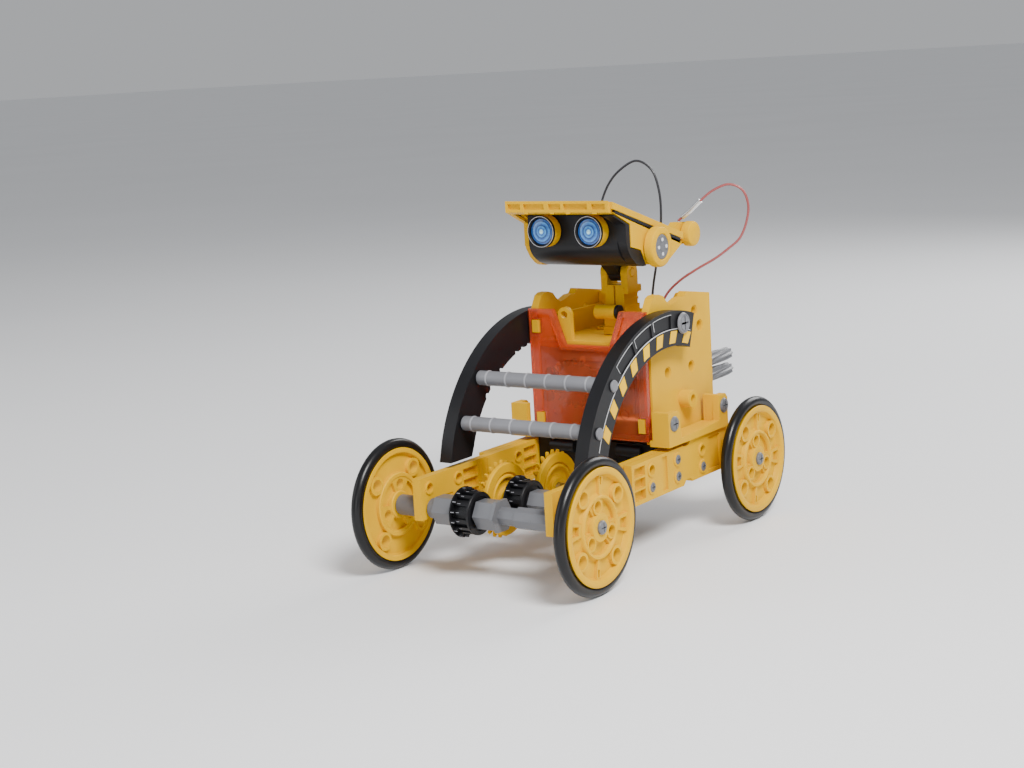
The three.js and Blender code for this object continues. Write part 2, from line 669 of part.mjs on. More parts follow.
// ---------------------------------------------------------------- neck
const NECK_X = 0.6; // the neck's own middle
const EAR_PLATE = { x0: 2.9, x1: 5.6, radius: 3.6 };
const PIN_RADIUS = 1.5;

function addNeckPost() {
  const foot = box(-4.6, 4.6, 26.4, 38, DECK.z1 + GAP, 73);
  const column = box(-3.9, 3.9, 27.6, 36.8, 72, 88);
  const step = box(-4.4, 4.4, 27, 37.2, 72, 80.5);
  const barrel = join(
    rodX(2.55, -5, 4.6, 23.2, 79, 16),
    box(-4, 3.9, 23, 28, 77.2, 80.8),
  );
  const ears = SIDES.map(({ sign }) => join(
    rodX(EAR_PLATE.radius, sign * EAR_PLATE.x0, sign * EAR_PLATE.x1, PIVOT.y, PIVOT.z, 16),
    box(sign * EAR_PLATE.x0, sign * EAR_PLATE.x1, PIVOT.y - 3.4, PIVOT.y + 3.6, 86, PIVOT.z),
  ));
  const shoulders = box(-EAR_PLATE.x1, EAR_PLATE.x1, PIVOT.y - 3.4, 36.8, 85, 87.5);
  const seam = box(-0.35, 0.35, 27, 28.4, 80, 88);
  const pinHole = rodX(PIN_RADIUS + 0.2, -10, 10, PIVOT.y, PIVOT.z, 16);
  const post = cut(join(foot, column, step, shoulders, barrel, ...ears), seam, pinHole);
  place(robot, 'neck_post', post.translate([NECK_X, 0, 0]), 'yellow');
}

// ---------------------------------------------------------------- head
const ROOF_SLOPE = (ROOF.z0 - ROOF.z1) / (ROOF.y1 - ROOF.y0);

function roofPoint(y, below = 0) {
  return [y, ROOF.z0 - ROOF_SLOPE * (y - ROOF.y0) - below];
}

function roofSlab(y0, y1, top, bottom, x0, x1) {
  const outline = [roofPoint(y0, top), roofPoint(y0, bottom), roofPoint(y1, bottom), roofPoint(y1, top)];
  return alongX(outline, x0, x1);
}

const PANEL = { y0: -2.4, y1: 37.6, half: 19.6, depth: 1.4 };
const FACE_FRONT = [
  [3, 115.4], [3, 107], [3.6, 104], [5.6, 100.8], [9, 98.2], [13, 96.9], [19, 96.4],
];
const FACE_BACK = [
  [19, 98.2], [13.4, 98.7], [9.8, 99.9], [6.9, 102.1], [5.3, 104.8], [4.8, 107.3], [4.8, 114.9],
];
// The black strip that runs down the front edge of the head's left side.
const LEFT_CHEEK = [
  [-4.2, 116.3], [5.4, 111.85], [5.4, 104.2], [11.8, 102.4], [15.2, 96.9], [13, 96.9],
  [9, 98.2], [5.6, 100.8], [3.6, 104], [3, 107], [3, 112.35], [-4.4, 115.8],
];

function sidePanel(sign) {
  const below = 3.5;
  const outline = [
    roofPoint(-5, below), [5.7, 112.2], [5.7, 104.4], [12.1, 102.7], [15.5, 97.2], [27.6, 95.6],
    roofPoint(39.6, below + 1), roofPoint(39.6, below),
  ];
  const cheek = [
    [5.7, 105], [6.4, 103.2], [8.6, 100], [11.4, 97.9], [15.5, 97.2], [12.1, 103.5], [7, 105],
  ];
  const inner = [
    roofPoint(-3, 2), [7.5, 112.2], [7.5, 105.6], [16, 103.5], [22, 99.4], [30, 99],
    roofPoint(38.5, 5), roofPoint(38.5, 2),
  ];
  const outer = alongX(outline, sign * 20, sign * ROOF.half);
  const wall = alongX(inner, sign * 18.6, sign * 20.6);
  const strip = alongX(cheek, sign * 20, sign * ROOF.half);
  return sign > 0 ? join(outer, wall) : join(outer, wall, strip);
}

function knobBracket(sign) {
  const outline = [
    [38.4, 105.4], [43.5, 108.9], [50.6, 108.4], [51.4, 101.6], [44, 100.4], [37.4, 102.2],
  ];
  return alongX(outline, sign * 15.4, sign * 18.2);
}

const LIP_POCKETS = [[-20.1, -14.8], [-13.5, -4.9], [-3.1, 1.9], [3.1, 12.7], [14.4, 19.8]];
const LIP_BUMPS = [-12.4, -1.6, 4.9, 15.6];

// The lip across the front, with a channel that short ribs divide.
function roofLip() {
  const outline = [[ROOF.y0, 121.2], [ROOF.y0, 117.3], [-3.6, 116.4], [-3.6, 120.2]];
  const bar = alongX(outline, -21, 21);
  const bumps = LIP_BUMPS.map((x) => box(x - 0.8, x + 0.8, ROOF.y0, ROOF.y0 + 0.8, 116.7, 118));
  const pockets = LIP_POCKETS.map(([x0, x1]) => (
    box(x0, x1, ROOF.y0 - 1, ROOF.y0 + 0.9, 118.3, 120.2)
  ));
  return cut(join(bar, ...bumps), ...pockets);
}

function addHeadShell() {
  const roof = join(
    roofSlab(ROOF.y0 + 1.4, ROOF.y1, 0, ROOF.thickness, -ROOF.half, ROOF.half),
    roofLip(),
  );
  const half = PANEL.half + GAP;
  const pocket = roofSlab(PANEL.y0 - GAP, PANEL.y1 + GAP, -2, PANEL.depth, -half, half);
  const rearOutline = [
    [30, 97.6], [31.2, 96.6], [41, 103.2], roofPoint(40, 1.5), roofPoint(37.5, 1.5),
  ];
  const rearWall = alongX(rearOutline, -20.4, 20.4);
  const shell = join(
    cut(roof, pocket),
    rearWall,
    ...SIDES.map(({ sign }) => sidePanel(sign)),
    ...SIDES.map(({ sign }) => knobBracket(sign)),
  );
  const knobHoles = SIDES.map(({ sign }) => (
    rodX(2 + GAP, sign * 12, sign * 20, KNOB.y, KNOB.z, 12)
  ));
  place(head, 'head_shell', cut(shell, ...knobHoles), 'yellow');
  const panel = roofSlab(PANEL.y0, PANEL.y1, 0.2, PANEL.depth - GAP, -PANEL.half, PANEL.half);
  place(head, 'solar_panel', panel, 'panel');
}

function addFacePlate() {
  const face = alongX([...FACE_FRONT, ...FACE_BACK], -18.3, 18.3);
  const cheek = alongX(LEFT_CHEEK, 17.5, 21.9);
  place(head, 'face_plate', join(face, cheek), 'black');
}

function addEyes() {
  for (const { word, sign } of SIDES) {
    const x = sign * EYE.x;
    const tube = rodY(EYE.outer, EYE.front, EYE.back, x, EYE.z, 24);
    const well = rodY(EYE.inner, EYE.front - 1, EYE.front + EYE.well, x, EYE.z, 24);
    place(head, `eye_tube_${word}`, tube.subtract(well), 'yellow');
    const lensBack = EYE.front + EYE.well - GAP;
    const lens = rodY(EYE.inner - GAP, EYE.front + 0.6, lensBack, x, EYE.z, 20);
    place(head, `eye_lens_${word}`, lens, 'iris');
  }
}

function addEars() {
  for (const { word, sign } of SIDES) {
    const inner = sign * (ROOF.half + GAP);
    const disc = rodX(EAR.radius, inner, sign * 26, EAR.y, EAR.z, 24);
    const dish = rodX(4.4, sign * 25.2, sign * 27, EAR.y, EAR.z, 16);
    place(head, `ear_disc_${word}`, disc.subtract(dish), 'yellow');
    const knob = join(
      rodX(KNOB.radius, sign * 18.5, sign * 22.3, KNOB.y, KNOB.z, 20),
      rodX(2, sign * 14, sign * 19, KNOB.y, KNOB.z, 12),
    );
    place(head, `rear_knob_${word}`, knob, 'yellow');
  }
}

// The plate across the head's floor and the knuckle that hangs from it.
function addHeadBracket() {
  const plate = box(-18.2, 18.2, 19.4, 27.2, 96.4, 98);
  const half = EAR_PLATE.x0 - GAP;
  const web = alongX([[22, 97], [27.2, 97], [34, 93.6], [34, 91.6], [28.4, 91]], -half, half);
  const knuckle = rodX(3.2, -half, half, PIVOT.y, PIVOT.z, 16);
  const hole = rodX(PIN_RADIUS + GAP, -5, 5, PIVOT.y, PIVOT.z, 14);
  const hinge = cut(join(web, knuckle), hole).translate([NECK_X, 0, 0]);
  place(head, 'head_bracket', join(plate, hinge), 'black');
  const end = EAR_PLATE.x1 + 0.8;
  const pin = rodX(PIN_RADIUS, NECK_X - end, NECK_X + end, PIVOT.y, PIVOT.z, 14);
  place(head, 'neck_pin', pin, 'steel');
}

// ---------------------------------------------------------------- wires
const RED_ROUTE = [
  [17, 46.5, 109.1], [18.6, 46.8, 110.4], [21.6, 47.2, 112.6], [25.6, 48, 116.2], [30.2, 49.6, 119.8],
  [35.4, 51.6, 121.6], [39.6, 53.2, 119.6], [41.4, 54, 114.4], [40.8, 53.6, 108.4],
  [38.4, 52.4, 102.4], [34.6, 50.6, 98.8], [30.4, 48.8, 95.6], [23.6, 46.6, 91.7],
  [17.6, 45, 87.8], [13, 43.8, 83.4], [10.4, 42.8, 78.4], [9.6, 42.2, 75], [9.6, 42, WIRE_BOSS.top + GAP],
];
const BLACK_ROUTE = [
  [-14, 42.4, 106.9], [-14.4, 43.4, 110.4], [-13.2, 44, 117], [-9.8, 44, 123.2], [-5, 44, 127.8],
  [2.2, 44, 131], [8.2, 44, 127.8], [11, 44, 120.4], [11.4, 44, 110.4], [9.9, 44, 100.7],
  [8.4, 44, 92.7], [7.1, 43.8, 86.1], [6.6, 43, 79.4], [6.8, 42.3, 75], [6.8, 42, WIRE_BOSS.top + GAP],
];

function wireShape(route) {
  const curve = new THREE.CatmullRomCurve3(route.map((point) => new THREE.Vector3(...point)));
  const section = shapeOf(circle(WIRE_RADIUS, 0, 0, 8));
  const steps = Math.round(curve.getLength() / (3 * 2 * WIRE_RADIUS));
  const options = { steps, extrudePath: curve, bevelEnabled: false };
  return solid(new THREE.ExtrudeGeometry(section, options));
}

function addWires() {
  place(robot, 'red_wire', wireShape(RED_ROUTE), 'redWire');
  place(robot, 'black_wire', wireShape(BLACK_ROUTE), 'blackWire');
}

// ---------------------------------------------------------------- the whole robot
addFrontAxle();
addMiddleShaft();
addOutputShaft();
addRearAxle();
for (const side of SIDES) {
  addArm(side);
  addRail(side);
  addBracket(side);
  addSidePlate(side);
  addArch(side);
}
addGearboxBase();
addBackCover();
addRearPegs();
addTopDeck();
addFrontCover();
addMotor();
addTorsoGears();
addCrossbars();
addNeckPost();
addHeadShell();
addFacePlate();
addEyes();
addEars();
addHeadBracket();
addWires();

export default robot;
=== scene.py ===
"""The look of the solar robot: fine plastic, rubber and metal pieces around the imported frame.

Sizes inside the modelling functions are millimetres, and settle() turns them to metres.
"""
import json
import math

import bmesh
import bpy
from mathutils import Matrix, Vector


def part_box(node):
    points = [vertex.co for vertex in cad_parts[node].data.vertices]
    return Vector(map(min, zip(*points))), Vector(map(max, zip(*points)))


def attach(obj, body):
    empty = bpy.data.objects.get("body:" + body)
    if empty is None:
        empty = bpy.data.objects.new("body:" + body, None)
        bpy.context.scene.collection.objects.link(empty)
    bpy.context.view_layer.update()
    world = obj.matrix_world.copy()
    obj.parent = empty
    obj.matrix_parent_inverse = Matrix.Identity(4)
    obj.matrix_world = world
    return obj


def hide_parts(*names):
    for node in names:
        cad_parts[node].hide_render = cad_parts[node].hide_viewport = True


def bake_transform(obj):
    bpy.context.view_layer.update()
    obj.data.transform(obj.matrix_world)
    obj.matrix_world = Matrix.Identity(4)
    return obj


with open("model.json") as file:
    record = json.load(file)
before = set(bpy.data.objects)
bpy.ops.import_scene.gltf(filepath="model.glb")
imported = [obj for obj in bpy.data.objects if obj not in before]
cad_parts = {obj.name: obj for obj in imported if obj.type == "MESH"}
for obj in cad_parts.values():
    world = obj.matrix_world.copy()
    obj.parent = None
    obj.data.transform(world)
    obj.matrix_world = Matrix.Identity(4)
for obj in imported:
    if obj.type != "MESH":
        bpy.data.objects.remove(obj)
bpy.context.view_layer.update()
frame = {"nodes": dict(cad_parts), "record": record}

MM = 0.001
SIDES = (("left", 1), ("right", -1))


# ---- camera
def make_camera():
    azimuth, elevation, roll = (math.radians(x) for x in (35.8, 9.89, -3.33))
    forward = Vector((-math.sin(azimuth) * math.cos(elevation),
                      math.cos(azimuth) * math.cos(elevation), -math.sin(elevation)))
    right = Vector((math.cos(azimuth), math.sin(azimuth), 0))
    up = right.cross(forward)
    right_rolled = right * math.cos(roll) + up * math.sin(roll)
    up_rolled = up * math.cos(roll) - right * math.sin(roll)
    data = bpy.data.cameras.new("photo_camera")
    data.sensor_width = 36
    data.lens = 64.71
    data.clip_start = 0.01
    data.clip_end = 60
    camera = bpy.data.objects.new("photo_camera", data)
    axes = Matrix((right_rolled, up_rolled, -forward)).transposed().to_4x4()
    camera.matrix_world = Matrix.Translation((0.35187, -0.52534, 0.16835)) @ axes
    bpy.context.scene.collection.objects.link(camera)
    bpy.context.scene.camera = camera


make_camera()


# ---- mesh tools
def add_object(name, mesh):
    piece = bpy.data.objects.new(name, mesh)
    bpy.context.scene.collection.objects.link(piece)
    return piece


def from_bmesh(bm, name="work"):
    bmesh.ops.recalc_face_normals(bm, faces=bm.faces)
    mesh = bpy.data.meshes.new(name)
    bm.to_mesh(mesh)
    bm.free()
    return add_object(name, mesh)


def on_axis(axis, a, b, t):
    """A point t along the axis, whose other two coordinates are a and b, in X, Y, Z order."""
    if axis == "X":
        return (t, a, b)
    if axis == "Y":
        return (a, t, b)
    return (a, b, t)


def prism(points, axis, low, high):
    bm = bmesh.new()
    rings = [[bm.verts.new(on_axis(axis, a, b, t)) for a, b in points] for t in (low, high)]
    count = len(points)
    for i in range(count):
        j = (i + 1) % count
        bm.faces.new((rings[0][i], rings[0][j], rings[1][j], rings[1][i]))
    bm.faces.new(rings[0])
    bm.faces.new(list(reversed(rings[1])))
    return from_bmesh(bm)


def circle(radius, a=0.0, b=0.0, sides=40, start=0.0, squeeze=1.0):
    turns = [start + 2 * math.pi * i / sides for i in range(sides)]
    return [(a + radius * math.cos(t), b + squeeze * radius * math.sin(t)) for t in turns]


def rod(axis, radius, low, high, a=0.0, b=0.0, sides=40):
    return prism(circle(radius, a, b, sides), axis, min(low, high), max(low, high))


def box(x, y, z):
    """A box over three (low, high) spans."""
    (x0, x1), (y0, y1), (z0, z1) = (sorted(span) for span in (x, y, z))
    return prism([(x0, y0), (x1, y0), (x1, y1), (x0, y1)], "Z", z0, z1)


def turned(axis, profile, a=0.0, b=0.0, sides=72, closed=False):
    """A profile of (radius, along) points turned about the axis through (a, b)."""
    bm = bmesh.new()
    rings = []
    for radius, along in profile:
        if radius < 1e-6:
            rings.append([bm.verts.new(on_axis(axis, a, b, along))])
        else:
            rings.append([bm.verts.new(on_axis(axis, p, q, along))
                          for p, q in circle(radius, a, b, sides)])
    pairs = list(zip(rings, rings[1:]))
    if closed:
        pairs.append((rings[-1], rings[0]))
    for one, two in pairs:
        for i in range(sides):
            j = (i + 1) % sides
            corners = [one[i % len(one)], one[j % len(one)], two[j % len(two)], two[i % len(two)]]
            face = list(dict.fromkeys(corners))
            if len(face) > 2:
                bm.faces.new(face)
    return from_bmesh(bm)


def boolean(piece, tools, operation):
    """Cuts, joins or intersects with each tool in turn, and deletes the tools."""
    for tool in tools:
        modifier = piece.modifiers.new("boolean", "BOOLEAN")
        modifier.operation = operation
        modifier.object = tool
        modifier.solver = "MANIFOLD"
        bpy.context.view_layer.update()
        graph = bpy.context.evaluated_depsgraph_get()
        made = bpy.data.meshes.new_from_object(piece.evaluated_get(graph))
        piece.modifiers.clear()
        piece.data = made
        bpy.data.objects.remove(tool)
    return piece


def cut(piece, *tools):
    return boolean(piece, tools, "DIFFERENCE")


def join(piece, *tools):
    return boolean(piece, tools, "UNION")


def gather(pieces):
    """Puts separate closed solids into one object."""
    bm = bmesh.new()
    for piece in pieces:
        bm.from_mesh(piece.data)
        bpy.data.objects.remove(piece)
    return from_bmesh(bm)


def cad(node):
    """A copy of a CAD node's solid, in millimetres, with its split vertices merged."""
    bm = bmesh.new()
    bm.from_mesh(frame["nodes"][node].data)
    bmesh.ops.scale(bm, vec=(1 / MM,) * 3, verts=bm.verts)
    bmesh.ops.remove_doubles(bm, verts=bm.verts, dist=0.002)
    bmesh.ops.dissolve_limit(bm, angle_limit=math.radians(0.5), verts=bm.verts, edges=bm.edges)
    return from_bmesh(bm)


def settle(piece, name, body, material, slot, replaces=(), bevel=0.22, segments=2, angle=32):
    """Names a piece, rounds its edges, and hands it to its body."""
    mesh = piece.data
    mesh.transform(Matrix.Scale(MM, 4))
    bm = bmesh.new()
    bm.from_mesh(mesh)
    bmesh.ops.remove_doubles(bm, verts=bm.verts, dist=2e-6)
    bmesh.ops.dissolve_limit(bm, angle_limit=math.radians(0.4), verts=bm.verts, edges=bm.edges)
    bmesh.ops.recalc_face_normals(bm, faces=bm.faces)
    for face in bm.faces:
        face.smooth = True
    for edge in bm.edges:
        edge.smooth = edge.calc_face_angle(0) < math.radians(angle)
    bm.to_mesh(mesh)
    bm.free()
    piece.name = name
    mesh.name = name
    mesh.materials.clear()
    mesh.materials.append(material)
    if bevel:
        rounding = piece.modifiers.new("rounded_edges", "BEVEL")
        rounding.width = bevel * MM
        rounding.segments = segments
        rounding.limit_method = "ANGLE"
        rounding.angle_limit = math.radians(angle)
        rounding.use_clamp_overlap = True
        rounding.harden_normals = True
    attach(piece, body)
    if replaces:
        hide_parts(*replaces)
    return piece


def body_of_node(node):
    return next(body for body, nodes in frame["record"]["behaviour"]["bodies"].items() if node in nodes)


def span(node):
    """A CAD node's (low, high) along X, Y and Z, in millimetres."""
    low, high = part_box(node)
    return [(low[i] / MM, high[i] / MM) for i in range(3)]


def middle(node):
    return [(low + high) / 2 for low, high in span(node)]


def refine(piece, node, material, slot, **rounding):
    """Hands over a finer piece that takes one CAD node's place on its body."""
    return settle(piece, f"{node}_fine", body_of_node(node), material, slot, [node], **rounding)


# ---- materials
def new_material(name):
    material = bpy.data.materials.new(name)
    material.use_nodes = True
    return material, material.node_tree.nodes, material.node_tree.links


def set_inputs(shader, **values):
    for key, value in values.items():
        shader.inputs[key.replace("_", " ")].default_value = value


def textured(nodes, links, kind, scale, **settings):
    """A texture in object coordinates."""
    place = nodes.new("ShaderNodeTexCoord")
    texture = nodes.new(kind)
    texture.inputs["Scale"].default_value = scale
    for key, value in settings.items():
        texture.inputs[key].default_value = value
    links.new(place.outputs["Object"], texture.inputs["Vector"])
    return texture


def ramp(nodes, links, source, stops):
    node = nodes.new("ShaderNodeValToRGB")
    elements = node.color_ramp.elements
    while len(elements) < len(stops):
        elements.new(0.5)
    for element, (position, colour) in zip(elements, stops):
        element.position = position
        element.color = (*colour, 1)
    links.new(source, node.inputs["Fac"])
    return node


def spread(nodes, links, source, low, high):
    node = nodes.new("ShaderNodeMapRange")
    node.inputs["To Min"].default_value = low
    node.inputs["To Max"].default_value = high
    links.new(source, node.inputs["Value"])
    return node.outputs["Result"]


def bump(nodes, links, height, strength, distance):
    node = nodes.new("ShaderNodeBump")
    node.inputs["Strength"].default_value = strength
    node.inputs["Distance"].default_value = distance
    links.new(height, node.inputs["Height"])
    return node.outputs["Normal"]


def plastic(name, dark, light, rough, grain=900.0, coat=0.15, bump_strength=0.03, specular=0.4):
    """Moulded plastic: faint flow marks in the colour, a fine skin, a soft clear gloss."""
    material, nodes, links = new_material(name)
    shader = nodes["Principled BSDF"]
    flow = textured(nodes, links, "ShaderNodeTexNoise", 38.0, Detail=3.0, Distortion=0.6)
    skin = textured(nodes, links, "ShaderNodeTexNoise", grain, Detail=2.0)
    colour = ramp(nodes, links, flow.outputs["Fac"], [(0.3, dark), (0.7, light)])
    links.new(colour.outputs["Color"], shader.inputs["Base Color"])
    links.new(spread(nodes, links, skin.outputs["Fac"], rough[0], rough[1]), shader.inputs["Roughness"])
    links.new(bump(nodes, links, skin.outputs["Fac"], bump_strength, 0.0002), shader.inputs["Normal"])
    set_inputs(shader, Coat_Weight=coat, Coat_Roughness=0.12, Specular_IOR_Level=specular)
    return material


def metal(name, dark, light, rough):
    material, nodes, links = new_material(name)
    shader = nodes["Principled BSDF"]
    brushing = textured(nodes, links, "ShaderNodeTexNoise", 420.0, Detail=4.0, Distortion=1.5)
    colour = ramp(nodes, links, brushing.outputs["Fac"], [(0.3, dark), (0.7, light)])
    links.new(colour.outputs["Color"], shader.inputs["Base Color"])
    links.new(spread(nodes, links, brushing.outputs["Fac"], *rough), shader.inputs["Roughness"])
    links.new(bump(nodes, links, brushing.outputs["Fac"], 0.12, 0.0002), shader.inputs["Normal"])
    set_inputs(shader, Metallic=1.0)
    return material


def clear_red(name):
    material, nodes, links = new_material(name)
    shader = nodes["Principled BSDF"]
    flow = textured(nodes, links, "ShaderNodeTexNoise", 60.0, Detail=2.0)
    stops = [(0.3, (0.86, 0.17, 0.06)), (0.7, (0.93, 0.22, 0.08))]
    colour = ramp(nodes, links, flow.outputs["Fac"], stops)
    links.new(colour.outputs["Color"], shader.inputs["Base Color"])
    links.new(spread(nodes, links, flow.outputs["Fac"], 0.08, 0.2), shader.inputs["Roughness"])
    set_inputs(shader, Transmission_Weight=0.8, IOR=1.25, Coat_Weight=0.3)
    return material


def solar_cells(name):
    """Dark blue-black silicon with fine crystal grain under clear resin."""
    material, nodes, links = new_material(name)
    shader = nodes["Principled BSDF"]
    grain = textured(nodes, links, "ShaderNodeTexVoronoi", 420.0)
    colour = ramp(nodes, links, grain.outputs["Distance"],
                  [(0.0, (0.006, 0.012, 0.04)), (0.8, (0.02, 0.045, 0.13))])
    links.new(colour.outputs["Color"], shader.inputs["Base Color"])
    links.new(spread(nodes, links, grain.outputs["Distance"], 0.12, 0.28), shader.inputs["Roughness"])
    set_inputs(shader, Coat_Weight=1.0, Coat_Roughness=0.03)
    return material


def iris_with_painted_glow(name, centre_x, centre_z, radius_mm):
    """A printed disc of blue rings that short radial marks cross, around a bright centre that is a painted
    highlight, with a faint painted glow over the whole disc.
    """
    material, nodes, links = new_material(name)
    shader = nodes["Principled BSDF"]
    place = nodes.new("ShaderNodeTexCoord")
    shift = nodes.new("ShaderNodeVectorMath")
    shift.operation = "SUBTRACT"
    shift.inputs[1].default_value = (centre_x * MM, 0, centre_z * MM)
    links.new(place.outputs["Object"], shift.inputs[0])
    flat = nodes.new("ShaderNodeVectorMath")
    flat.operation = "MULTIPLY"
    flat.inputs[1].default_value = (1, 0, 1)
    links.new(shift.outputs["Vector"], flat.inputs[0])
    radius = nodes.new("ShaderNodeVectorMath")
    radius.operation = "LENGTH"
    links.new(flat.outputs["Vector"], radius.inputs[0])
    share = nodes.new("ShaderNodeMath")
    share.operation = "DIVIDE"
    share.inputs[1].default_value = radius_mm * MM
    links.new(radius.outputs["Value"], share.inputs[0])
    # The white-cyan centre of this ramp is a painted highlight. The blue rings around it are print.
    rings = ramp(nodes, links, share.outputs["Value"], [
        (0.0, (0.80, 0.98, 1.0)), (0.14, (0.40, 0.85, 1.0)), (0.22, (0.01, 0.09, 0.42)),
        (0.38, (0.08, 0.38, 0.80)), (0.46, (0.005, 0.03, 0.16)), (0.58, (0.03, 0.19, 0.58)),
        (0.70, (0.08, 0.34, 0.76)), (0.78, (0.005, 0.03, 0.14)), (0.89, (0.02, 0.14, 0.48)),
        (0.95, (0.01, 0.03, 0.09)), (1.0, (0.006, 0.008, 0.014))])
    marks = nodes.new("ShaderNodeTexNoise")
    marks.inputs["Scale"].default_value = 900.0
    marks.inputs["Detail"].default_value = 3.0
    links.new(flat.outputs["Vector"], marks.inputs["Vector"])
    contrast = ramp(nodes, links, marks.outputs["Fac"], [(0.36, (0.35, 0.45, 0.6)), (0.62, (1.0, 1.0, 1.0))])
    mix = nodes.new("ShaderNodeMix")
    mix.data_type = "RGBA"
    mix.blend_type = "MULTIPLY"
    mix.inputs["Factor"].default_value = 0.8
    links.new(rings.outputs["Color"], mix.inputs["A"])
    links.new(contrast.outputs["Color"], mix.inputs["B"])
    links.new(mix.outputs["Result"], shader.inputs["Base Color"])
    # The disc's colours also drive a faint emission. This is a painted glow, since the eye holds no lamp.
    links.new(mix.outputs["Result"], shader.inputs["Emission Color"])
    set_inputs(shader, Roughness=0.25, Emission_Strength=0.12, Coat_Weight=0.5, Coat_Roughness=0.04)
    return material


YELLOW = plastic("yellow_abs", (0.64, 0.345, 0.0), (0.71, 0.40, 0.0), (0.40, 0.50), coat=0.0, specular=0.12)
BLACK = plastic("black_abs", (0.006, 0.006, 0.007), (0.009, 0.009, 0.011), (0.36, 0.44),
                coat=0.04, specular=0.25)
GREY = plastic("grey_abs", (0.105, 0.108, 0.118), (0.135, 0.139, 0.152), (0.34, 0.46))
# Light grey plastic for the crossbar rings. The same colour paints the highlights on the small gears' tooth
# tips.
LIGHT_GREY = plastic("light_grey_abs_and_tip_highlight", (0.24, 0.243, 0.265), (0.30, 0.304, 0.33), (0.34, 0.46))
RUBBER = plastic("tyre_rubber", (0.004, 0.004, 0.005), (0.007, 0.007, 0.008), (0.28, 0.36), grain=500.0,
                 coat=0.05, specular=0.3)
BAR_GREY = plastic("bar_grey_abs", (0.15, 0.153, 0.168), (0.19, 0.193, 0.21), (0.34, 0.46))
HAZARD = plastic("yellow_print", (0.82, 0.46, 0.0), (0.90, 0.54, 0.0), (0.3, 0.4), coat=0.0, specular=0.12)
# Pale plastic for printed marks such as the ear dots. The same colour paints the edge highlights on the
# arches.
WHITE = plastic("pale_print_and_highlight", (0.55, 0.56, 0.58), (0.72, 0.73, 0.75), (0.35, 0.5))
RED_WIRE = plastic("red_insulation", (0.25, 0.05, 0.05), (0.34, 0.08, 0.08), (0.32, 0.45), grain=1500.0)
BLACK_WIRE = plastic("black_insulation", (0.012, 0.012, 0.014), (0.03, 0.03, 0.035), (0.32, 0.45),
                     grain=1500.0)
STEEL = metal("steel", (0.42, 0.43, 0.45), (0.62, 0.63, 0.65), (0.22, 0.42))
SILVER = metal("silver_print", (0.66, 0.67, 0.68), (0.80, 0.81, 0.82), (0.25, 0.4))
RED_CLEAR = clear_red("clear_red")
CELLS = solar_cells("solar_cells")


# ---- wires
WIRE_DIAMETER = 0.9
RED_ROUTE = [
    (17, 46.5, 109.1), (18.6, 46.8, 110.4), (21.6, 47.2, 112.6), (25.6, 48, 116.2),
    (30.2, 49.6, 119.8), (35.4, 51.6, 121.6), (39.6, 53.2, 119.6), (41.4, 54, 114.4),
    (40.8, 53.6, 108.4), (38.4, 52.4, 102.4), (34.6, 50.6, 98.8), (30.4, 48.8, 95.6),
    (23.6, 46.6, 91.7), (17.6, 45, 87.8), (13, 43.8, 83.4), (10.4, 42.8, 78.4),
    (9.6, 42.2, 75), (9.6, 42, 72.3),
]
BLACK_ROUTE = [
    (-14, 42.4, 106.9), (-14.4, 43.4, 110.4), (-13.2, 44, 117), (-9.8, 44, 123.2),
    (-5, 44, 127.8), (2.2, 44, 131), (8.2, 44, 127.8), (11, 44, 120.4), (11.4, 44, 110.4),
    (9.9, 44, 100.7), (8.4, 44, 92.7), (7.1, 43.8, 86.1), (6.6, 43, 79.4), (6.8, 42.3, 75),
    (6.8, 42, 72.3),
]


def smooth_path(points, steps=8):
    """Centripetal Catmull-Rom through the points, which is the curve that the CAD wire follows."""
    points = [Vector(p) for p in points]
    ends = [points[0] * 2 - points[1]] + points + [points[-1] * 2 - points[-2]]
    path = []
    for p0, p1, p2, p3 in zip(ends, ends[1:], ends[2:], ends[3:]):
        d1, d2, d3 = ((b - a).length ** 0.5 for a, b in ((p0, p1), (p1, p2), (p2, p3)))
        t1 = ((p1 - p0) / d1 - (p2 - p0) / (d1 + d2) + (p2 - p1) / d2) * d2
        t2 = ((p2 - p1) / d2 - (p3 - p1) / (d2 + d3) + (p3 - p2) / d3) * d2
        for i in range(steps):
            s = i / steps
            path.append(p1 * (2 * s**3 - 3 * s**2 + 1) + t1 * (s**3 - 2 * s**2 + s)
                        + p2 * (3 * s**2 - 2 * s**3) + t2 * (s**3 - s**2))
    return path + [points[-1]]


def swept(path, radius, sides=12):
    """A closed tube along a path, its section carried without twist."""
    bm = bmesh.new()
    tangents = [(b - a).normalized() for a, b in zip([path[0]] + path, path[1:] + [path[-1]])]
    side = tangents[0].orthogonal().normalized()
    rings = []
    for point, tangent in zip(path, tangents):
        side = (side - tangent * side.dot(tangent)).normalized()
        other = tangent.cross(side)
        rings.append([bm.verts.new(point + side * a + other * b) for a, b in circle(radius, sides=sides)])
    for one, two in zip(rings, rings[1:]):
        for i in range(sides):
            j = (i + 1) % sides
            bm.faces.new((one[i], one[j], two[j], two[i]))
    bm.faces.new(rings[0])
    bm.faces.new(rings[-1])
    return from_bmesh(bm)


def make_wire(name, route, material, node):
    path = smooth_path(route)
    piece = swept(path, WIRE_DIAMETER / 2)
    piece.name = name
    piece.data.transform(Matrix.Scale(MM, 4))
    piece.data.materials.append(material)
    piece.data.polygons.foreach_set("use_smooth", [True] * len(piece.data.polygons))
    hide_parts(node)
    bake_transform(piece)


make_wire("red_lead", RED_ROUTE, RED_WIRE, "red_wire")
make_wire("black_lead", BLACK_ROUTE, BLACK_WIRE, "black_wire")


# ---- wheels
def mirrored(profile, sign, origin):
    return [(radius, origin + sign * along) for radius, along in profile]


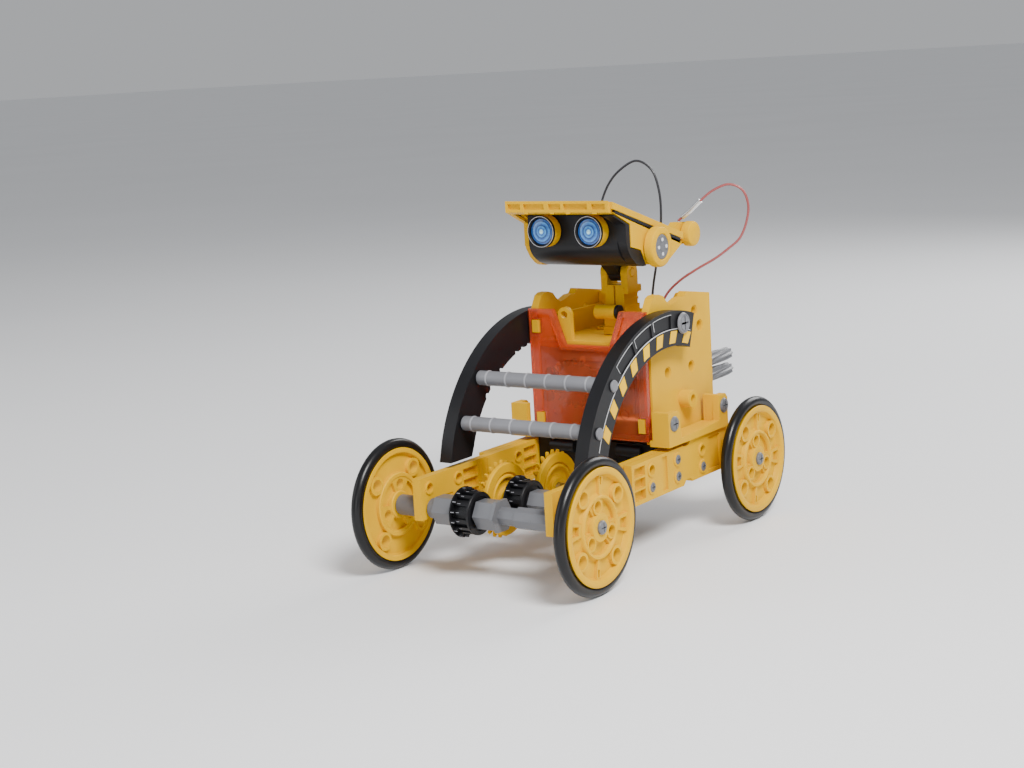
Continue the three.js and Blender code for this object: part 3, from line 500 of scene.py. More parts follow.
def polar(radius, degrees, a=0.0, b=0.0):
    turn = math.radians(degrees)
    return (a + radius * math.cos(turn), b + radius * math.sin(turn))


def sector(inner, outer, centre, width, a, b, steps=8):
    angles = [centre - width / 2 + width * i / steps for i in range(steps + 1)]
    return ([polar(outer, t, a, b) for t in angles]
            + [polar(inner, t, a, b) for t in reversed(angles)])


WHEEL_PROFILE = [
    (2.2, -2.2), (4.4, -2.2), (4.7, -1.9), (4.7, -1.7), (9.3, -1.7), (9.6, -2.0),
    (10.7, -2.0), (11.0, -1.7), (11.0, -0.5), (17.0, -0.5), (17.4, -0.8), (17.4, -1.6),
    (17.8, -2.0), (19.3, -2.0), (19.4, -1.8), (18.75, -1.3), (18.35, -0.7), (18.3, 0.0),
    (18.35, 0.7), (18.75, 1.4), (19.2, 1.9), (19.3, 2.25), (19.05, 2.55), (18.5, 2.7),
    (17.6, 2.68), (17.05, 2.4), (16.8, 1.9), (16.6, 0.8), (16.3, 0.45), (11.0, 0.45),
    (10.6, 0.8), (10.3, 1.8), (10.0, 2.1), (9.4, 2.1), (9.1, 1.8), (8.9, 1.2), (4.9, 1.2),
    (4.6, 2.1), (2.2, 2.1),
]
WHEEL_HOLE_ANGLES = (38, 128, 218, 308)
HUB_HOLE_ANGLES = (98, 218, 338)
WINDOW_ANGLES = (38, 158, 278)
WEB_RIBS = (((-7, 173), 22, 12.0, 16.0, 13), ((83, 263), 8, 13.6, 16.0, 4))


def make_wheel(end, word, sign):
    node = f"wheel_{end}_{word}"
    centre = (sign * 40.56, *middle(f"tyre_{end}_{word}")[1:])
    x, y, z = centre
    body = body_of_node(node)

    def facing(degrees):
        return degrees if sign > 0 else 180 - degrees

    def across(low, high):
        return sorted((x + sign * low, x + sign * high))

    wheel = turned("X", mirrored(WHEEL_PROFILE, sign, x), y, z, sides=96, closed=True)
    solids, holes = [], []
    for angle in WHEEL_HOLE_ANGLES:
        spot = polar(14.1, facing(angle), y, z)
        solids.append(rod("X", 3.2, *across(-1.8, 1.9), *spot))
        holes.append(rod("X", 2.2, *across(-4, 4), *spot))
    for angle in HUB_HOLE_ANGLES:
        spot = polar(6.9, facing(angle), y, z)
        solids.append(rod("X", 2.6, *across(-1.2, 1.9), *spot))
        holes.append(rod("X", 1.9, *across(-4, 4), *spot))
    for angles, width, inner, outer, gap in WEB_RIBS:
        for angle in angles:
            turn = facing(angle)
            solids.append(prism(sector(10.3, 17.0, turn, width, y, z), "X", *across(-0.4, 1.5)))
            holes.append(prism(sector(inner, outer, turn, gap, y, z), "X", *across(0.2, 4)))
    windows = [prism(sector(4.9, 8.8, facing(angle), 64, y, z), "X", *across(*depth))
               for angle in WINDOW_ANGLES for depth in ((0.1, 4), (-4, -0.5))]
    wheel = join(wheel, *solids)
    wheel = cut(wheel, *holes, *windows)
    settle(wheel, f"{node}_disc", body, YELLOW, "yellow_plastic", [node], bevel=0.16)
    make_tyre(end, word, x, y, z, body)
    axle_end = span(f"{end}_axle")[0][1]
    make_hub_screw(f"hub_screw_{end}_{word}", sign * (axle_end + 0.1), sign, y, z, body)


def make_tyre(end, word, x, y, z, body):
    section = 1.93
    ring = 22.5 - section
    profile = [(ring + section * math.cos(t), x + section * math.sin(t))
               for t in (2 * math.pi * i / 20 for i in range(20))]
    tyre = turned("X", profile, y, z, sides=112, closed=True)
    settle(tyre, f"tyre_{end}_{word}_ring", body, RUBBER, "tyre_rubber", [f"tyre_{end}_{word}"], bevel=0)


def cross_recess(axis, face, sign, a, b, reach, width=0.45, depth=0.7):
    """Two slots that cross, sunk into a screw's head."""
    low, high = sorted((face - sign * depth, face + sign))
    spans = [((a - reach, a + reach), (b - width / 2, b + width / 2)),
             ((a - width / 2, a + width / 2), (b - reach, b + reach))]
    return [prism([(p0, q0), (p1, q0), (p1, q1), (p0, q1)], axis, low, high)
            for (p0, p1), (q0, q1) in spans]


def screw_head(axis, face, sign, a, b, radius, height):
    profile = [(0, face - sign * 0.4), (radius, face - sign * 0.4), (radius, face + sign * height * 0.35),
               (radius * 0.86, face + sign * height * 0.8), (radius * 0.5, face + sign * height),
               (0, face + sign * height)]
    head = turned(axis, profile, a, b, sides=36)
    return cut(head, *cross_recess(axis, face + sign * height, sign, a, b, radius * 0.6))


def make_hub_screw(name, face, sign, y, z, body):
    screw = screw_head("X", face - sign * 0.3, sign, y, z, 2.3, 0.8)
    settle(screw, name, body, GREY, "metal", bevel=0.06, segments=1)


for end_word in ("front", "rear"):
    for side_word, side_sign in SIDES:
        make_wheel(end_word, side_word, side_sign)


# ---- gears, shafts, sleeves
FRONT_Y, MIDDLE_Y, OUTPUT_Y, REAR_Y = -53.0, -33.0, -13.0, 53.0
AXLE_Z = 22.5


def gear_outline(teeth, y, z, phase=0.0, pressure=math.radians(20), backlash=0.3):
    """A module 1 gear with involute flanks and one tooth centred at the phase angle."""
    pitch = teeth / 2
    base = pitch * math.cos(pressure)

    def half_angle(radius):
        angle = math.acos(min(1, base / radius))
        at_pitch = math.pi / (2 * teeth) - backlash / (2 * pitch)
        return at_pitch + math.tan(pressure) - pressure - (math.tan(angle) - angle)

    radii = [pitch - 1.3, pitch - 0.5, pitch, pitch + 0.45, pitch + 0.88]
    flank = [(radius, half_angle(radius)) for radius in radii]
    points = []
    for tooth in range(teeth):
        turn = phase + 2 * math.pi * tooth / teeth
        both = [(r, turn - h) for r, h in flank] + [(r, turn + h) for r, h in reversed(flank)]
        points += [(y + r * math.cos(t), z + r * math.sin(t)) for r, t in both]
    return points


def hole_for_shaft(piece, low, high, y, z=AXLE_Z, radius=2.1):
    return cut(piece, rod("X", radius, low - 1, high + 1, y, z))


def make_small_gear(node, y):
    """Full teeth in a narrow band beside a flange, then teeth turned down to clear the other gear."""
    low, high = span(node)[0]
    full_end, low_end = low + 2.0, high - 0.8
    gear = prism(gear_outline(15, y, AXLE_Z), "X", low + 0.1, high - 0.1)
    stepped = [(0, low), (9.4, low), (9.4, full_end), (7.2, full_end + 0.01), (7.2, high), (0, high)]
    limit = turned("X", stepped, y, AXLE_Z, sides=96)
    left = turned("X", [(0, low), (8.2, low), (8.53, low + 0.2), (8.53, low + 0.6), (0, low + 0.6)],
                  y, AXLE_Z)
    right = turned("X", [(0, low_end), (7.3, low_end), (7.3, high - 0.2), (7.1, high), (0, high)], y, AXLE_Z)
    dish = turned("X", [(0, high - 0.5), (5.6, high - 0.5), (6.0, high + 0.5), (0, high + 0.5)], y, AXLE_Z)
    hub = rod("X", 3.4, high - 1, high - 0.1, y, AXLE_Z)
    gear = join(boolean(gear, [limit], "INTERSECT"), left, right)
    gear = hole_for_shaft(join(cut(gear, dish), hub), low, high, y)
    refine(gear, node, BLACK, "black_plastic", bevel=0.14, angle=28)
    # The thin light-grey strips on the tooth tips are painted highlights: they stand for the glints that
    # light leaves along each tooth's land.
    tip_highlights = [prism(sector(radius - 0.12, radius, 24 * tooth, 1.8, y, AXLE_Z, 2), "X", start, end)
             for tooth in range(15)
             for radius, start, end in ((8.44, low + 0.7, full_end), (7.26, full_end, full_end + 1.2))]
    settle(gather(tip_highlights), f"{node}_lands", body_of_node(node), LIGHT_GREY, "black_plastic", bevel=0)


def make_large_gear(node, y):
    """A yellow gear: the toothed rim, a smooth flange beside it, and a raised ring on its face."""
    low = span(node)[0][0]
    teeth_end, flange, face = low + 1.0, low + 1.4, low + 3.0
    rim = prism(gear_outline(25, y, AXLE_Z), "X", low, teeth_end)
    side = turned("X", [
        (0, teeth_end - 0.4), (11.0, teeth_end - 0.4), (11.0, flange), (12.3, flange), (12.5, flange + 0.2),
        (12.5, face - 0.35), (12.15, face), (9.3, face), (9.0, face - 0.3), (8.9, face - 0.8),
        (8.6, face - 0.8), (8.5, face - 0.1), (8.2, face + 0.2), (7.6, face + 0.2), (7.3, face - 0.1),
        (7.1, flange + 0.3), (4.2, flange + 0.3), (4.1, face - 0.2), (3.8, face), (0, face)],
        y, AXLE_Z, sides=96)
    back = turned("X", [(0, low - 1), (9.8, low - 1), (9.5, low + 0.5), (5.0, low + 0.5), (4.8, low - 1)],
                  y, AXLE_Z)
    gear = cut(join(rim, side), back)
    gear = join(gear, rod("X", 4.4, low + 0.05, low + 1.4, y, AXLE_Z))
    gear = hole_for_shaft(gear, low, face + 1, y)
    refine(gear, node, YELLOW, "yellow_plastic", bevel=0.12, angle=28)


make_small_gear("drive_gear", FRONT_Y)
make_small_gear("middle_small_gear", MIDDLE_Y)
make_large_gear("middle_large_gear", MIDDLE_Y)
make_large_gear("output_gear", OUTPUT_Y)


def make_shaft(node, y, material=STEEL, radius=2.0):
    low, high = span(node)[0]
    chamfer = 0.3
    profile = [(0, low), (radius - chamfer, low), (radius, low + chamfer), (radius, high - chamfer),
               (radius - chamfer, high), (0, high)]
    shaft = turned("X", profile, y, AXLE_Z, sides=40)
    settle(shaft, f"{node}_bar", body_of_node(node), material, "metal", [node], bevel=0)


make_shaft("front_axle", FRONT_Y)
make_shaft("middle_shaft", MIDDLE_Y)
make_shaft("output_shaft", OUTPUT_Y)


def make_spacer(node):
    low, high = span(node)[0]
    profile = [(2.2, low), (3.2, low), (3.5, low + 0.3), (3.5, high - 0.3), (3.2, high), (2.2, high)]
    spacer = turned("X", profile, FRONT_Y, AXLE_Z, closed=True)
    settle(spacer, f"{node}_tube", body_of_node(node), GREY, "grey_plastic", [node], bevel=0.1)


def make_hex_collar():
    low, high = span("hex_collar")[0]
    hex_end = -21.4
    neck = turned("X", [(0, low), (3.0, low), (3.4, low + 0.4), (3.4, hex_end + 1), (0, hex_end + 1)],
                  FRONT_Y, AXLE_Z)
    body = prism(circle(5.3, FRONT_Y, AXLE_Z, 6), "X", hex_end, high)
    collar = hole_for_shaft(join(body, neck), low, high, FRONT_Y)
    refine(collar, "hex_collar", GREY, "grey_plastic", bevel=0.3)


def make_hex_sleeve():
    low, high = span("hex_sleeve")[0]
    shoulder, shoulder_end = 3.0, 4.3
    parts = [
        prism(circle(5.3, FRONT_Y, AXLE_Z, 6), "X", low, shoulder + 0.2),
        prism(circle(6.0, FRONT_Y, AXLE_Z, 6), "X", shoulder, shoulder_end),
        prism(circle(3.1, FRONT_Y, AXLE_Z, 8), "X", shoulder + 1, 11.5),
        prism(circle(3.7, FRONT_Y, AXLE_Z, 8), "X", 11, high),
    ]
    sleeve = join(*parts)
    groove = turned("X", [(3.55, 17.6), (5, 17.6), (5, 18.3), (3.55, 18.3)], FRONT_Y, AXLE_Z, closed=True)
    sleeve = hole_for_shaft(cut(sleeve, groove), low, high, FRONT_Y)
    refine(sleeve, "hex_sleeve", GREY, "grey_plastic", bevel=0.26)


def make_middle_sleeve():
    low, high = span("middle_sleeve")[0]
    sleeve = join(
        prism(circle(4.6, MIDDLE_Y, AXLE_Z, 6), "X", low, low + 7),
        prism(circle(3.3, MIDDLE_Y, AXLE_Z, 8), "X", low + 6, high),
    )
    sleeve = hole_for_shaft(sleeve, low, high, MIDDLE_Y)
    refine(sleeve, "middle_sleeve", GREY, "grey_plastic", bevel=0.14)


def make_rear_axle():
    end, shoulder = span("rear_axle")[0][1], 31.9
    half = [(0, end), (1.8, end), (2.0, end - 0.2), (2.0, 38.06), (3.2, 38.06), (3.5, 37.8),
            (3.5, shoulder + 0.3), (3.2, shoulder), (2.0, shoulder), (2.0, 28.2), (3.0, 28.2), (3.2, 28.0)]
    profile = half + [(radius, -along) for radius, along in reversed(half)]
    axle = turned("X", profile, REAR_Y, AXLE_Z)
    settle(axle, "rear_axle_bar", "rear_wheels", GREY, "grey_plastic", ["rear_axle"], bevel=0.1)


for side_word, _ in SIDES:
    make_spacer(f"spacer_front_{side_word}")
make_hex_collar()
make_hex_sleeve()
make_middle_sleeve()
make_rear_axle()


# ---- plain moulded parts
def ring_bosses(face, towards, centres, outer=2.3, hole=1.65, height=0.5, depth=8):
    """Raised rings on a face, and the round holes through them."""
    rings = [turned("X", [(0, face - towards * 0.6), (outer, face - towards * 0.6),
                          (outer, face + towards * (height - 0.15)), (outer - 0.15, face + towards * height),
                          (0, face + towards * height)], y, z, sides=36) for y, z in centres]
    holes = [rod("X", hole, face - depth, face + depth, y, z, 32) for y, z in centres]
    return rings, holes


def make_arm(word, sign):
    node = f"arm_{word}"
    face = sign * 25.1
    rings, holes = ring_bosses(face, -sign, [(-53.6, 29.5), (-37.4, 29.5), (-1.5, 29.5)])
    bearings = [rod("X", 2.16, sign * 20, sign * 35, y, AXLE_Z) for y in (FRONT_Y, MIDDLE_Y, OUTPUT_Y)]
    ribs = [box((face - sign * 0.35, face + sign), (y, y + 1.2), (19.6, 32.9)) for y in (-24.6, -20.4)]
    arm = cut(join(cad(node), *rings, *ribs), *holes, *bearings)
    refine(arm, node, YELLOW, "yellow_plastic", bevel=0.2)


RAIL_HOLES = [(-3.5, 29.5), (-3.5, 23.5), (14, 29.5), (14, 23.5), (31.4, 29.4), (31.4, 23.4)]
RAIL_PINS = [(-3.5, 23.5), (14, 29.5), (14, 23.5), (31.4, 23.4)]


def make_rail(word, sign):
    node = f"rail_{word}"
    face = sign * 31.6
    rings, holes = ring_bosses(face, sign, RAIL_HOLES, outer=2.5, hole=1.75)
    bearing = rod("X", 2.16, sign * 20, sign * 35, REAR_Y, AXLE_Z)
    rail = cut(join(cad(node), *rings), *holes, bearing)
    refine(rail, node, YELLOW, "yellow_plastic", bevel=0.2)
    pins = [screw_head("X", face + sign * 0.3, sign, y, z, 1.72, 0.5) for y, z in RAIL_PINS]
    settle(gather(pins), f"rail_pins_{word}", "chassis", GREY, "grey_plastic", bevel=0.06, segments=1)


BRACKET_SCREWS = [(10.7, 42.8), (45.9, 42.9)]


def make_bracket(word, sign):
    node = f"bracket_{word}"
    face = sign * 33
    refine(cad(node), node, YELLOW, "yellow_plastic", bevel=0.35, segments=3)
    screws = [screw_head("X", face - sign * 0.1, sign, y, z, 2.7, 0.9) for y, z in BRACKET_SCREWS]
    settle(gather(screws), f"bracket_screws_{word}", "chassis", GREY, "grey_plastic", bevel=0.08, segments=1)


def make_side_plate(word, sign):
    node = f"side_plate_{word}"
    face = sign * 24.6
    holes = [(42, 77.4), (45.5, 71.8), (22.1, 58.3), (38.6, 58)]
    through = [rod("X", 1.75, sign * 18, sign * 27, y, z, 32) for y, z in holes]
    bottom, above = face - sign * 0.35, face + sign
    sinks = [turned("X", [(0, bottom), (2.1, bottom), (2.4, above), (0, above)], y, z, sides=36)
             for y, z in holes]
    boss_y, boss_z, end = 31.4, 47.6, sign * 29
    boss = turned("X", [(0, face - sign), (3.15, face - sign), (3.15, end - sign * 0.3), (2.9, end),
                        (2.2, end), (2.0, end - sign * 0.4), (0, end - sign * 0.4)],
                  boss_y, boss_z, sides=48)
    boss_hole = rod("X", 1.65, end - sign * 3, end + sign, boss_y, boss_z, 32)
    plate = cut(join(cad(node), boss), *through, *sinks, boss_hole)
    refine(plate, node, YELLOW, "yellow_plastic", bevel=0.28, segments=3)


for side_word, side_sign in SIDES:
    make_arm(side_word, side_sign)
    make_rail(side_word, side_sign)
    make_bracket(side_word, side_sign)
    make_side_plate(side_word, side_sign)

refine(cad("back_cover"), "back_cover", YELLOW, "yellow_plastic", bevel=0.25)
refine(cad("gearbox_base"), "gearbox_base", BLACK, "black_plastic", bevel=0.3)


DECK_HOLE = (-12, 40.2)


def make_top_deck():
    deck = join(cad("top_deck"), rod("Y", 2.72, 11.6, 13.6, -10.9, 79.2, 48),
                rod("Z", 3.22, 69.5, 72, 8.2, 42, 48))
    hole_x, hole_y = DECK_HOLE
    deck = join(deck, rod("Z", 3.22, 69.5, 70.8, hole_x, hole_y, 48))
    deck = cut(deck, rod("Y", 1.35, 10, 15, -10.9, 79.2, 32), rod("Z", 2.42, 60, 75, hole_x, hole_y, 48))
    refine(deck, "top_deck", YELLOW, "yellow_plastic", bevel=0.2)
    screw = screw_head("Z", 69.4, 1, hole_x, hole_y, 2.3, 0.9)
    settle(screw, "deck_screw", "chassis", BLACK, "metal", bevel=0.06, segments=1)


def make_front_cover():
    cover = cad("front_cover")
    window = box((-18.5, 18.5), (7.5, 9.55), (41, 63.5))
    cover = cut(cover, window)
    bosses = [rod("Y", 1.6, 8.9, 9.8, x, z, 32) for x in (-14, 14) for z in (45, 60)]
    cover = join(cover, *bosses)
    refine(cover, "front_cover", RED_CLEAR, "red_cover", bevel=0.2)
    hubs = [rod("Y", radius, 11.0, 11.8, x, z)
            for x, z, radius in ((-17.4, 57.8, 2.6), (-2.9, 58.6, 2.6), (-18.9, 49.7, 2.2))]
    settle(gather(hubs), "gearbox_hubs", "chassis", BLACK, "black_plastic", bevel=0.1)


make_top_deck()
make_front_cover()


# ---- motor and inner gears
def make_motor():
    x, z = 2.0, 49.0
    (y0, y1) = span("motor")[1]
    can = turned("Y", [(0, y0 + 1.4), (8.4, y0 + 1.4), (8.98, y0 + 2), (8.98, y1 - 0.6), (8.4, y1), (0, y1)],
                 x, z, sides=72)
    nose = rod("Y", 3, y0, y0 + 2, x, z)
    flats = [box((-20, 20), (y0 - 5, y1 + 5), (z + s * 7.5, z + s * 15)) for s in (-1, 1)]
    can = join(cut(can, *flats), nose)
    settle(can, "motor_can", "chassis", STEEL, "metal", ["motor"], bevel=0.2)


def make_inner_gear(node, teeth, x, z, shaft_radius, phase):
    (y0, y1) = span(node)[1]
    width = (13.0, 18.0) if teeth == 10 else (13.6, 16.4)
    gear = prism(gear_outline(teeth, x, z, phase), "Y", *width)
    shaft = rod("Y", shaft_radius, y0, y1, x, z)
    refine(join(gear, shaft), node, BLACK, "black_plastic", bevel=0.12)


make_motor()
# The gear's tooth meets the pinion's gap on the line between their centres.
TOWARDS_PINION = math.atan2(49 - 54, 2 + 10)
make_inner_gear("motor_pinion", 10, 2, 49, 1.2, TOWARDS_PINION + math.pi + math.pi / 10)
make_inner_gear("gearbox_gear", 16, -10, 54, 3, TOWARDS_PINION)


# ---- arches and crossbars
ARCH_Y, ARCH_Z = 15.14, 23.81


def arch_point(radius, degrees):
    """Degrees count from straight up, and grow towards the back."""
    turn = math.radians(degrees)
    return (ARCH_Y + radius * math.sin(turn), ARCH_Z + radius * math.cos(turn))


def arch_band(inner, outer, low, high, steps=12, lean=0.0):
    """A patch of the arch between two radii; lean shifts its outer edge along the arc."""
    angles = [low + (high - low) * i / steps for i in range(steps + 1)]
    return ([arch_point(outer, t + lean) for t in angles]
            + [arch_point(inner, t) for t in reversed(angles)])


PIN_AT = arch_point(52.8, 9.6)
CROSSBAR_ANGLES = {"crossbar_upper": -44.6, "crossbar_lower": -63.4}


def arch_solid(sign):
    """The whole arch with a fine arc and a foot."""
    low, high = sorted((sign * 24.9, sign * 29.9))
    angles = [18 - 89 * i / 60 for i in range(61)]
    outer = [arch_point(57.2, t) for t in angles]
    inner = [arch_point(45, t) for t in reversed(angles)]
    foot_y = arch_point(57.2, -78.6)[0]
    return prism(outer + [(foot_y, 35.2), (foot_y + 12, 35.2)] + inner, "X", low, high)


def make_arch(word, sign):
    node = f"arch_{word}"
    face = sign * 29.9
    arch = arch_solid(sign)
    holes = [rod("X", 1.9, sign * 20, sign * 35, *arch_point(53.2, t)) for t in CROSSBAR_ANGLES.values()]
    holes.append(rod("X", 2.0, sign * 20, sign * 35, *PIN_AT))
    sunk = [prism(arch_band(50.6, 55.8, a, b), "X", *sorted((face - sign * 0.5, face + sign)))
            for a, b in ((-10.5, 1.5), (-24, -12.5), (-38, -26))]
    arch = cut(arch, *holes, *sunk)
    if sign < 0:
        notches = [rod("X", 1.2, sign * 20, sign * 35, *arch_point(45, t), 5)
                   for t in (-8, -13, -18, -32, -37, -42, -47)]
        arch = cut(arch, *notches)
    refine(arch, node, BLACK, "black_plastic", bevel=0.35, segments=3)
    make_arch_marks(word, sign, face)
    make_arch_pin(word, sign)


def make_arch_marks(word, sign, face):
    """Slanted yellow patches along the inner edge, a thin pale printed outline, and thin pale painted
    highlights along the sunk panels' outer edges, all in low relief.
    """
    count, first, last, reach = 8, -63.0, 13.0, 2.4
    low, high = sorted((face - sign * 0.1, face + sign * 0.12))
    centres = [first + (last - first) * i / (count - 1) for i in range(count)]
    patches = [prism(arch_band(46.0, 50.2, t - reach, t + reach, 4, lean=1.6), "X", low, high)
               for t in centres]
    settle(gather(patches), f"hazard_patches_{word}", "chassis", HAZARD, "yellow_plastic", bevel=0)
    lines = [prism(arch_band(50.75, 50.95, -70, 16.5, 40), "X", low, high)]
    # The long arc is a printed outline. The short pale arcs and single radial ends on the sunk panels' outer
    # edges are painted highlights, standing for the light those edges catch.
    for a, b in ((-10.8, 1.8), (-24.3, -12.2), (-38.3, -25.7)):
        lines.append(prism(arch_band(55.85, 55.97, a, b), "X", low, high))
        lines.append(prism(arch_band(52.6, 55.97, a - 0.12, a), "X", low, high))
    settle(gather(lines), f"arch_outline_and_highlight_lines_{word}", "chassis", WHITE, "grey_plastic", bevel=0)


def make_arch_pin(word, sign):
    face = sign * 30.2
    y, z = PIN_AT
    top = face + sign * 1.2
    root = sign * 22.1
    head = turned("X", [(0, root), (1.7, root), (1.7, face), (3.6, face), (3.75, face + sign * 0.3),
                        (3.4, face + sign), (2.8, top), (0, top)], y, z, sides=48)
    slots = cross_recess("X", top, sign, y, z, 2.4, width=0.8, depth=0.6)
    floor, above = face + sign * 0.8, face + sign * 2
    ring = turned("X", [(2.85, floor), (3.0, above), (2.7, above), (2.7, floor)], y, z, closed=True)
    refine(cut(head, *slots, ring), f"arch_pin_{word}", BAR_GREY, "grey_plastic", bevel=0.1)


def make_crossbar(node):
    y, z = arch_point(53.2, CROSSBAR_ANGLES[node])
    end, tenon, head = 24.6, 30.2, 31.0
    rings = []
    for step in (-2.5, -1.5, -0.5, 0.5, 1.5, 2.5):
        x = step * 8.2
        profile = [(2.2, x - 0.4), (2.5, x - 0.4), (2.75, x - 0.2), (2.75, x + 0.2), (2.5, x + 0.4),
                   (2.2, x + 0.4)]
        rings.append(turned("X", profile, y, z, sides=48, closed=True))
    settle(gather(rings), f"{node}_rings", "chassis", LIGHT_GREY, "grey_plastic", bevel=0)
    left = [(0, -head), (1.3, -head + 0.05), (1.9, -head + 0.3), (2.1, -tenon), (1.6, -tenon), (1.6, -end),
            (2.3, -end), (2.55, -end + 0.3)]
    right = [(radius, -along) for radius, along in reversed(left)]
    bar = turned("X", left + right, y, z, sides=48)
    settle(bar, f"{node}_bar", "chassis", BAR_GREY, "grey_plastic", [node], bevel=0.08, segments=1)


for side_word, side_sign in SIDES:
    make_arch(side_word, side_sign)
for bar_node in CROSSBAR_ANGLES:
    make_crossbar(bar_node)


# ---- neck, pegs
NECK_X = 0.6
PIVOT_Y, PIVOT_Z = 31, 92.3


def make_neck():
    y, z = PIVOT_Y, PIVOT_Z
    post = cad("neck_post")
    ears = [turned("X", [(0, NECK_X + sign * 2.9), (3.62, NECK_X + sign * 2.9), (3.62, NECK_X + sign * 5.3),
                         (3.3, NECK_X + sign * 5.6), (0, NECK_X + sign * 5.6)], y, z) for _, sign in SIDES]
    low, high = NECK_X - 5, NECK_X + 4.6
    barrel = turned("X", [(0, low), (2.3, low), (2.58, low + 0.3), (2.58, high - 0.3), (2.3, high),
                          (0, high)], 23.2, 79)
    ribs = [box((NECK_X + 3.6, NECK_X + 4.1), (27.3, 37.0), (level, level + 0.9))
            for level in (82, 84.2, 86.4)]
    post = cut(join(post, *ears, barrel, *ribs), rod("X", 1.7, -10, 10, y, z))
    refine(post, "neck_post", YELLOW, "yellow_plastic", bevel=0.25)
    end = 5.8
    pin = turned("X", [(0, NECK_X - end), (1.3, NECK_X - end), (1.5, NECK_X - end + 0.2),
                       (1.5, NECK_X + end - 0.2), (1.3, NECK_X + end), (0, NECK_X + end)], y, z)
    settle(pin, "neck_pin_bar", "head", YELLOW, "metal", ["neck_pin"], bevel=0)
    cap = rod("X", 2.6, high - 1.2, high + 0.1, 23.2, 79)
    settle(cap, "neck_barrel_cap", "chassis", BLACK, "black_plastic", bevel=0.15)


def make_peg(node):
    """A splined stub whose ridges twist a little along its length."""
    y0, y1 = span(node)[1]
    x, _, z = middle(node)
    start = 53.8
    splines, steps = 8, 24
    bm = bmesh.new()
    rings = []
    for step in range(steps + 1):
        share = step / steps
        along = start + (y1 - start) * share
        taper = 1 - 0.12 * max(0, share - 0.85) / 0.15
        ring = []
        for i in range(splines * 6):
            turn = 2 * math.pi * i / (splines * 6)
            radius = (2.25 + 0.33 * math.cos(splines * turn)) * taper
            angle = turn + 0.9 * share
            ring.append(bm.verts.new((x + radius * math.cos(angle), along, z + radius * math.sin(angle))))
        rings.append(ring)
    for one, two in zip(rings, rings[1:]):
        for i in range(len(one)):
            j = (i + 1) % len(one)
            bm.faces.new((one[i], one[j], two[j], two[i]))
    bm.faces.new(rings[0])
    bm.faces.new(rings[-1])
    peg = join(from_bmesh(bm), rod("Y", 1.5, y0, start + 0.5, x, z))
    refine(peg, node, GREY, "metal", bevel=0.08, segments=1, angle=50)


make_neck()
make_peg("rear_peg_lower")
make_peg("rear_peg_upper")


# ---- head
ROOF_Y, ROOF_Z, ROOF_SLOPE = -6.3, 121.2, 15.5 / 47.3


def roof_z(y, below=0.0):
    return ROOF_Z - ROOF_SLOPE * (y - ROOF_Y) - below


def roof_slab(y0, y1, top, bottom, x0, x1):
    points = [(y0, roof_z(y0, top)), (y0, roof_z(y0, bottom)),
              (y1, roof_z(y1, bottom)), (y1, roof_z(y1, top))]
    return prism(points, "X", x0, x1)


def make_head_shell():
    shell = cad("head_shell")
    knob_holes = [rod("X", 2.35, sign * 12, sign * 20, *middle(f"rear_knob_{word}")[1:])
                  for word, sign in SIDES]
    shell = cut(shell, *knob_holes)
    refine(shell, "head_shell", YELLOW, "yellow_plastic", bevel=0.25)
    seam = [(-3.5, roof_z(-3.5, 2.5)), (-3.5, roof_z(-3.5, 3.7)),
            (39, roof_z(39, 4.5)), (39, roof_z(39, 2.5))]
    strips = [prism(seam, "X", *sorted((sign * 20.62, sign * 22.0))) for _, sign in SIDES]
    settle(gather(strips), "roof_gap_strips", "head", BLACK, "black_plastic", bevel=0.05)


def make_solar_panel():
    """Five strips of cells, with silver bus lines, on a dark board under the roof's rim."""
    board = roof_slab(-2.4, 37.6, 0.65, 1.1, -19.6, 19.6)
    settle(board, "solar_board", "head", BLACK, "solar_cell", ["solar_panel"], bevel=0.05)
    cells, lines = [], []
    rows, cell_gap = 5, 0.5
    first, last = -1.8, 37.0
    pitch = (last - first) / rows
    for row in range(rows):
        y0, y1 = first + row * pitch, first + (row + 1) * pitch - cell_gap
        cells.append(roof_slab(y0, y1, 0.45, 0.75, -19, 19))
        lines += [roof_slab(y0, y1, 0.42, 0.5, x - 0.35, x + 0.35) for x in (-10, 10)]
        fingers = 5
        lines += [roof_slab(y0 + (k + 0.5) * pitch / fingers - 0.06, y0 + (k + 0.5) * pitch / fingers + 0.06,
                            0.43, 0.5, -18.8, 18.8) for k in range(fingers)]
    settle(gather(cells), "solar_cells", "head", CELLS, "solar_cell", bevel=0.04, segments=1)
    settle(gather(lines), "solar_lines", "head", SILVER, "metal", bevel=0)


def make_face_plate():
    """A flat front that rolls under into the floor, and a strip down the head's left edge."""
    inner_half, wall, steps = 18.3, 1.8, 16
    front, top, turn_z, floor_y, floor_z = 3.0, 115.4, 105.5, 19.0, 96.4
    reach_y, reach_z = floor_y - front, turn_z - floor_z
    turns = [math.pi / 2 * i / steps for i in range(steps + 1)]
    outside = [(floor_y - reach_y * math.cos(t), turn_z - reach_z * math.sin(t)) for t in turns]
    inside = [(floor_y - (reach_y - wall) * math.cos(t), turn_z - (reach_z - wall) * math.sin(t))
              for t in reversed(turns)]
    outline = [(front, top)] + outside + inside + [(front + wall, top - 0.5)]
    face = prism(outline, "X", -inner_half, inner_half)
    cheek = cut(cad("face_plate"), box((-30, 17.6), (-10, 30), (90, 120)))
    refine(join(face, cheek), "face_plate", BLACK, "black_plastic", bevel=0.25, segments=3, angle=28)


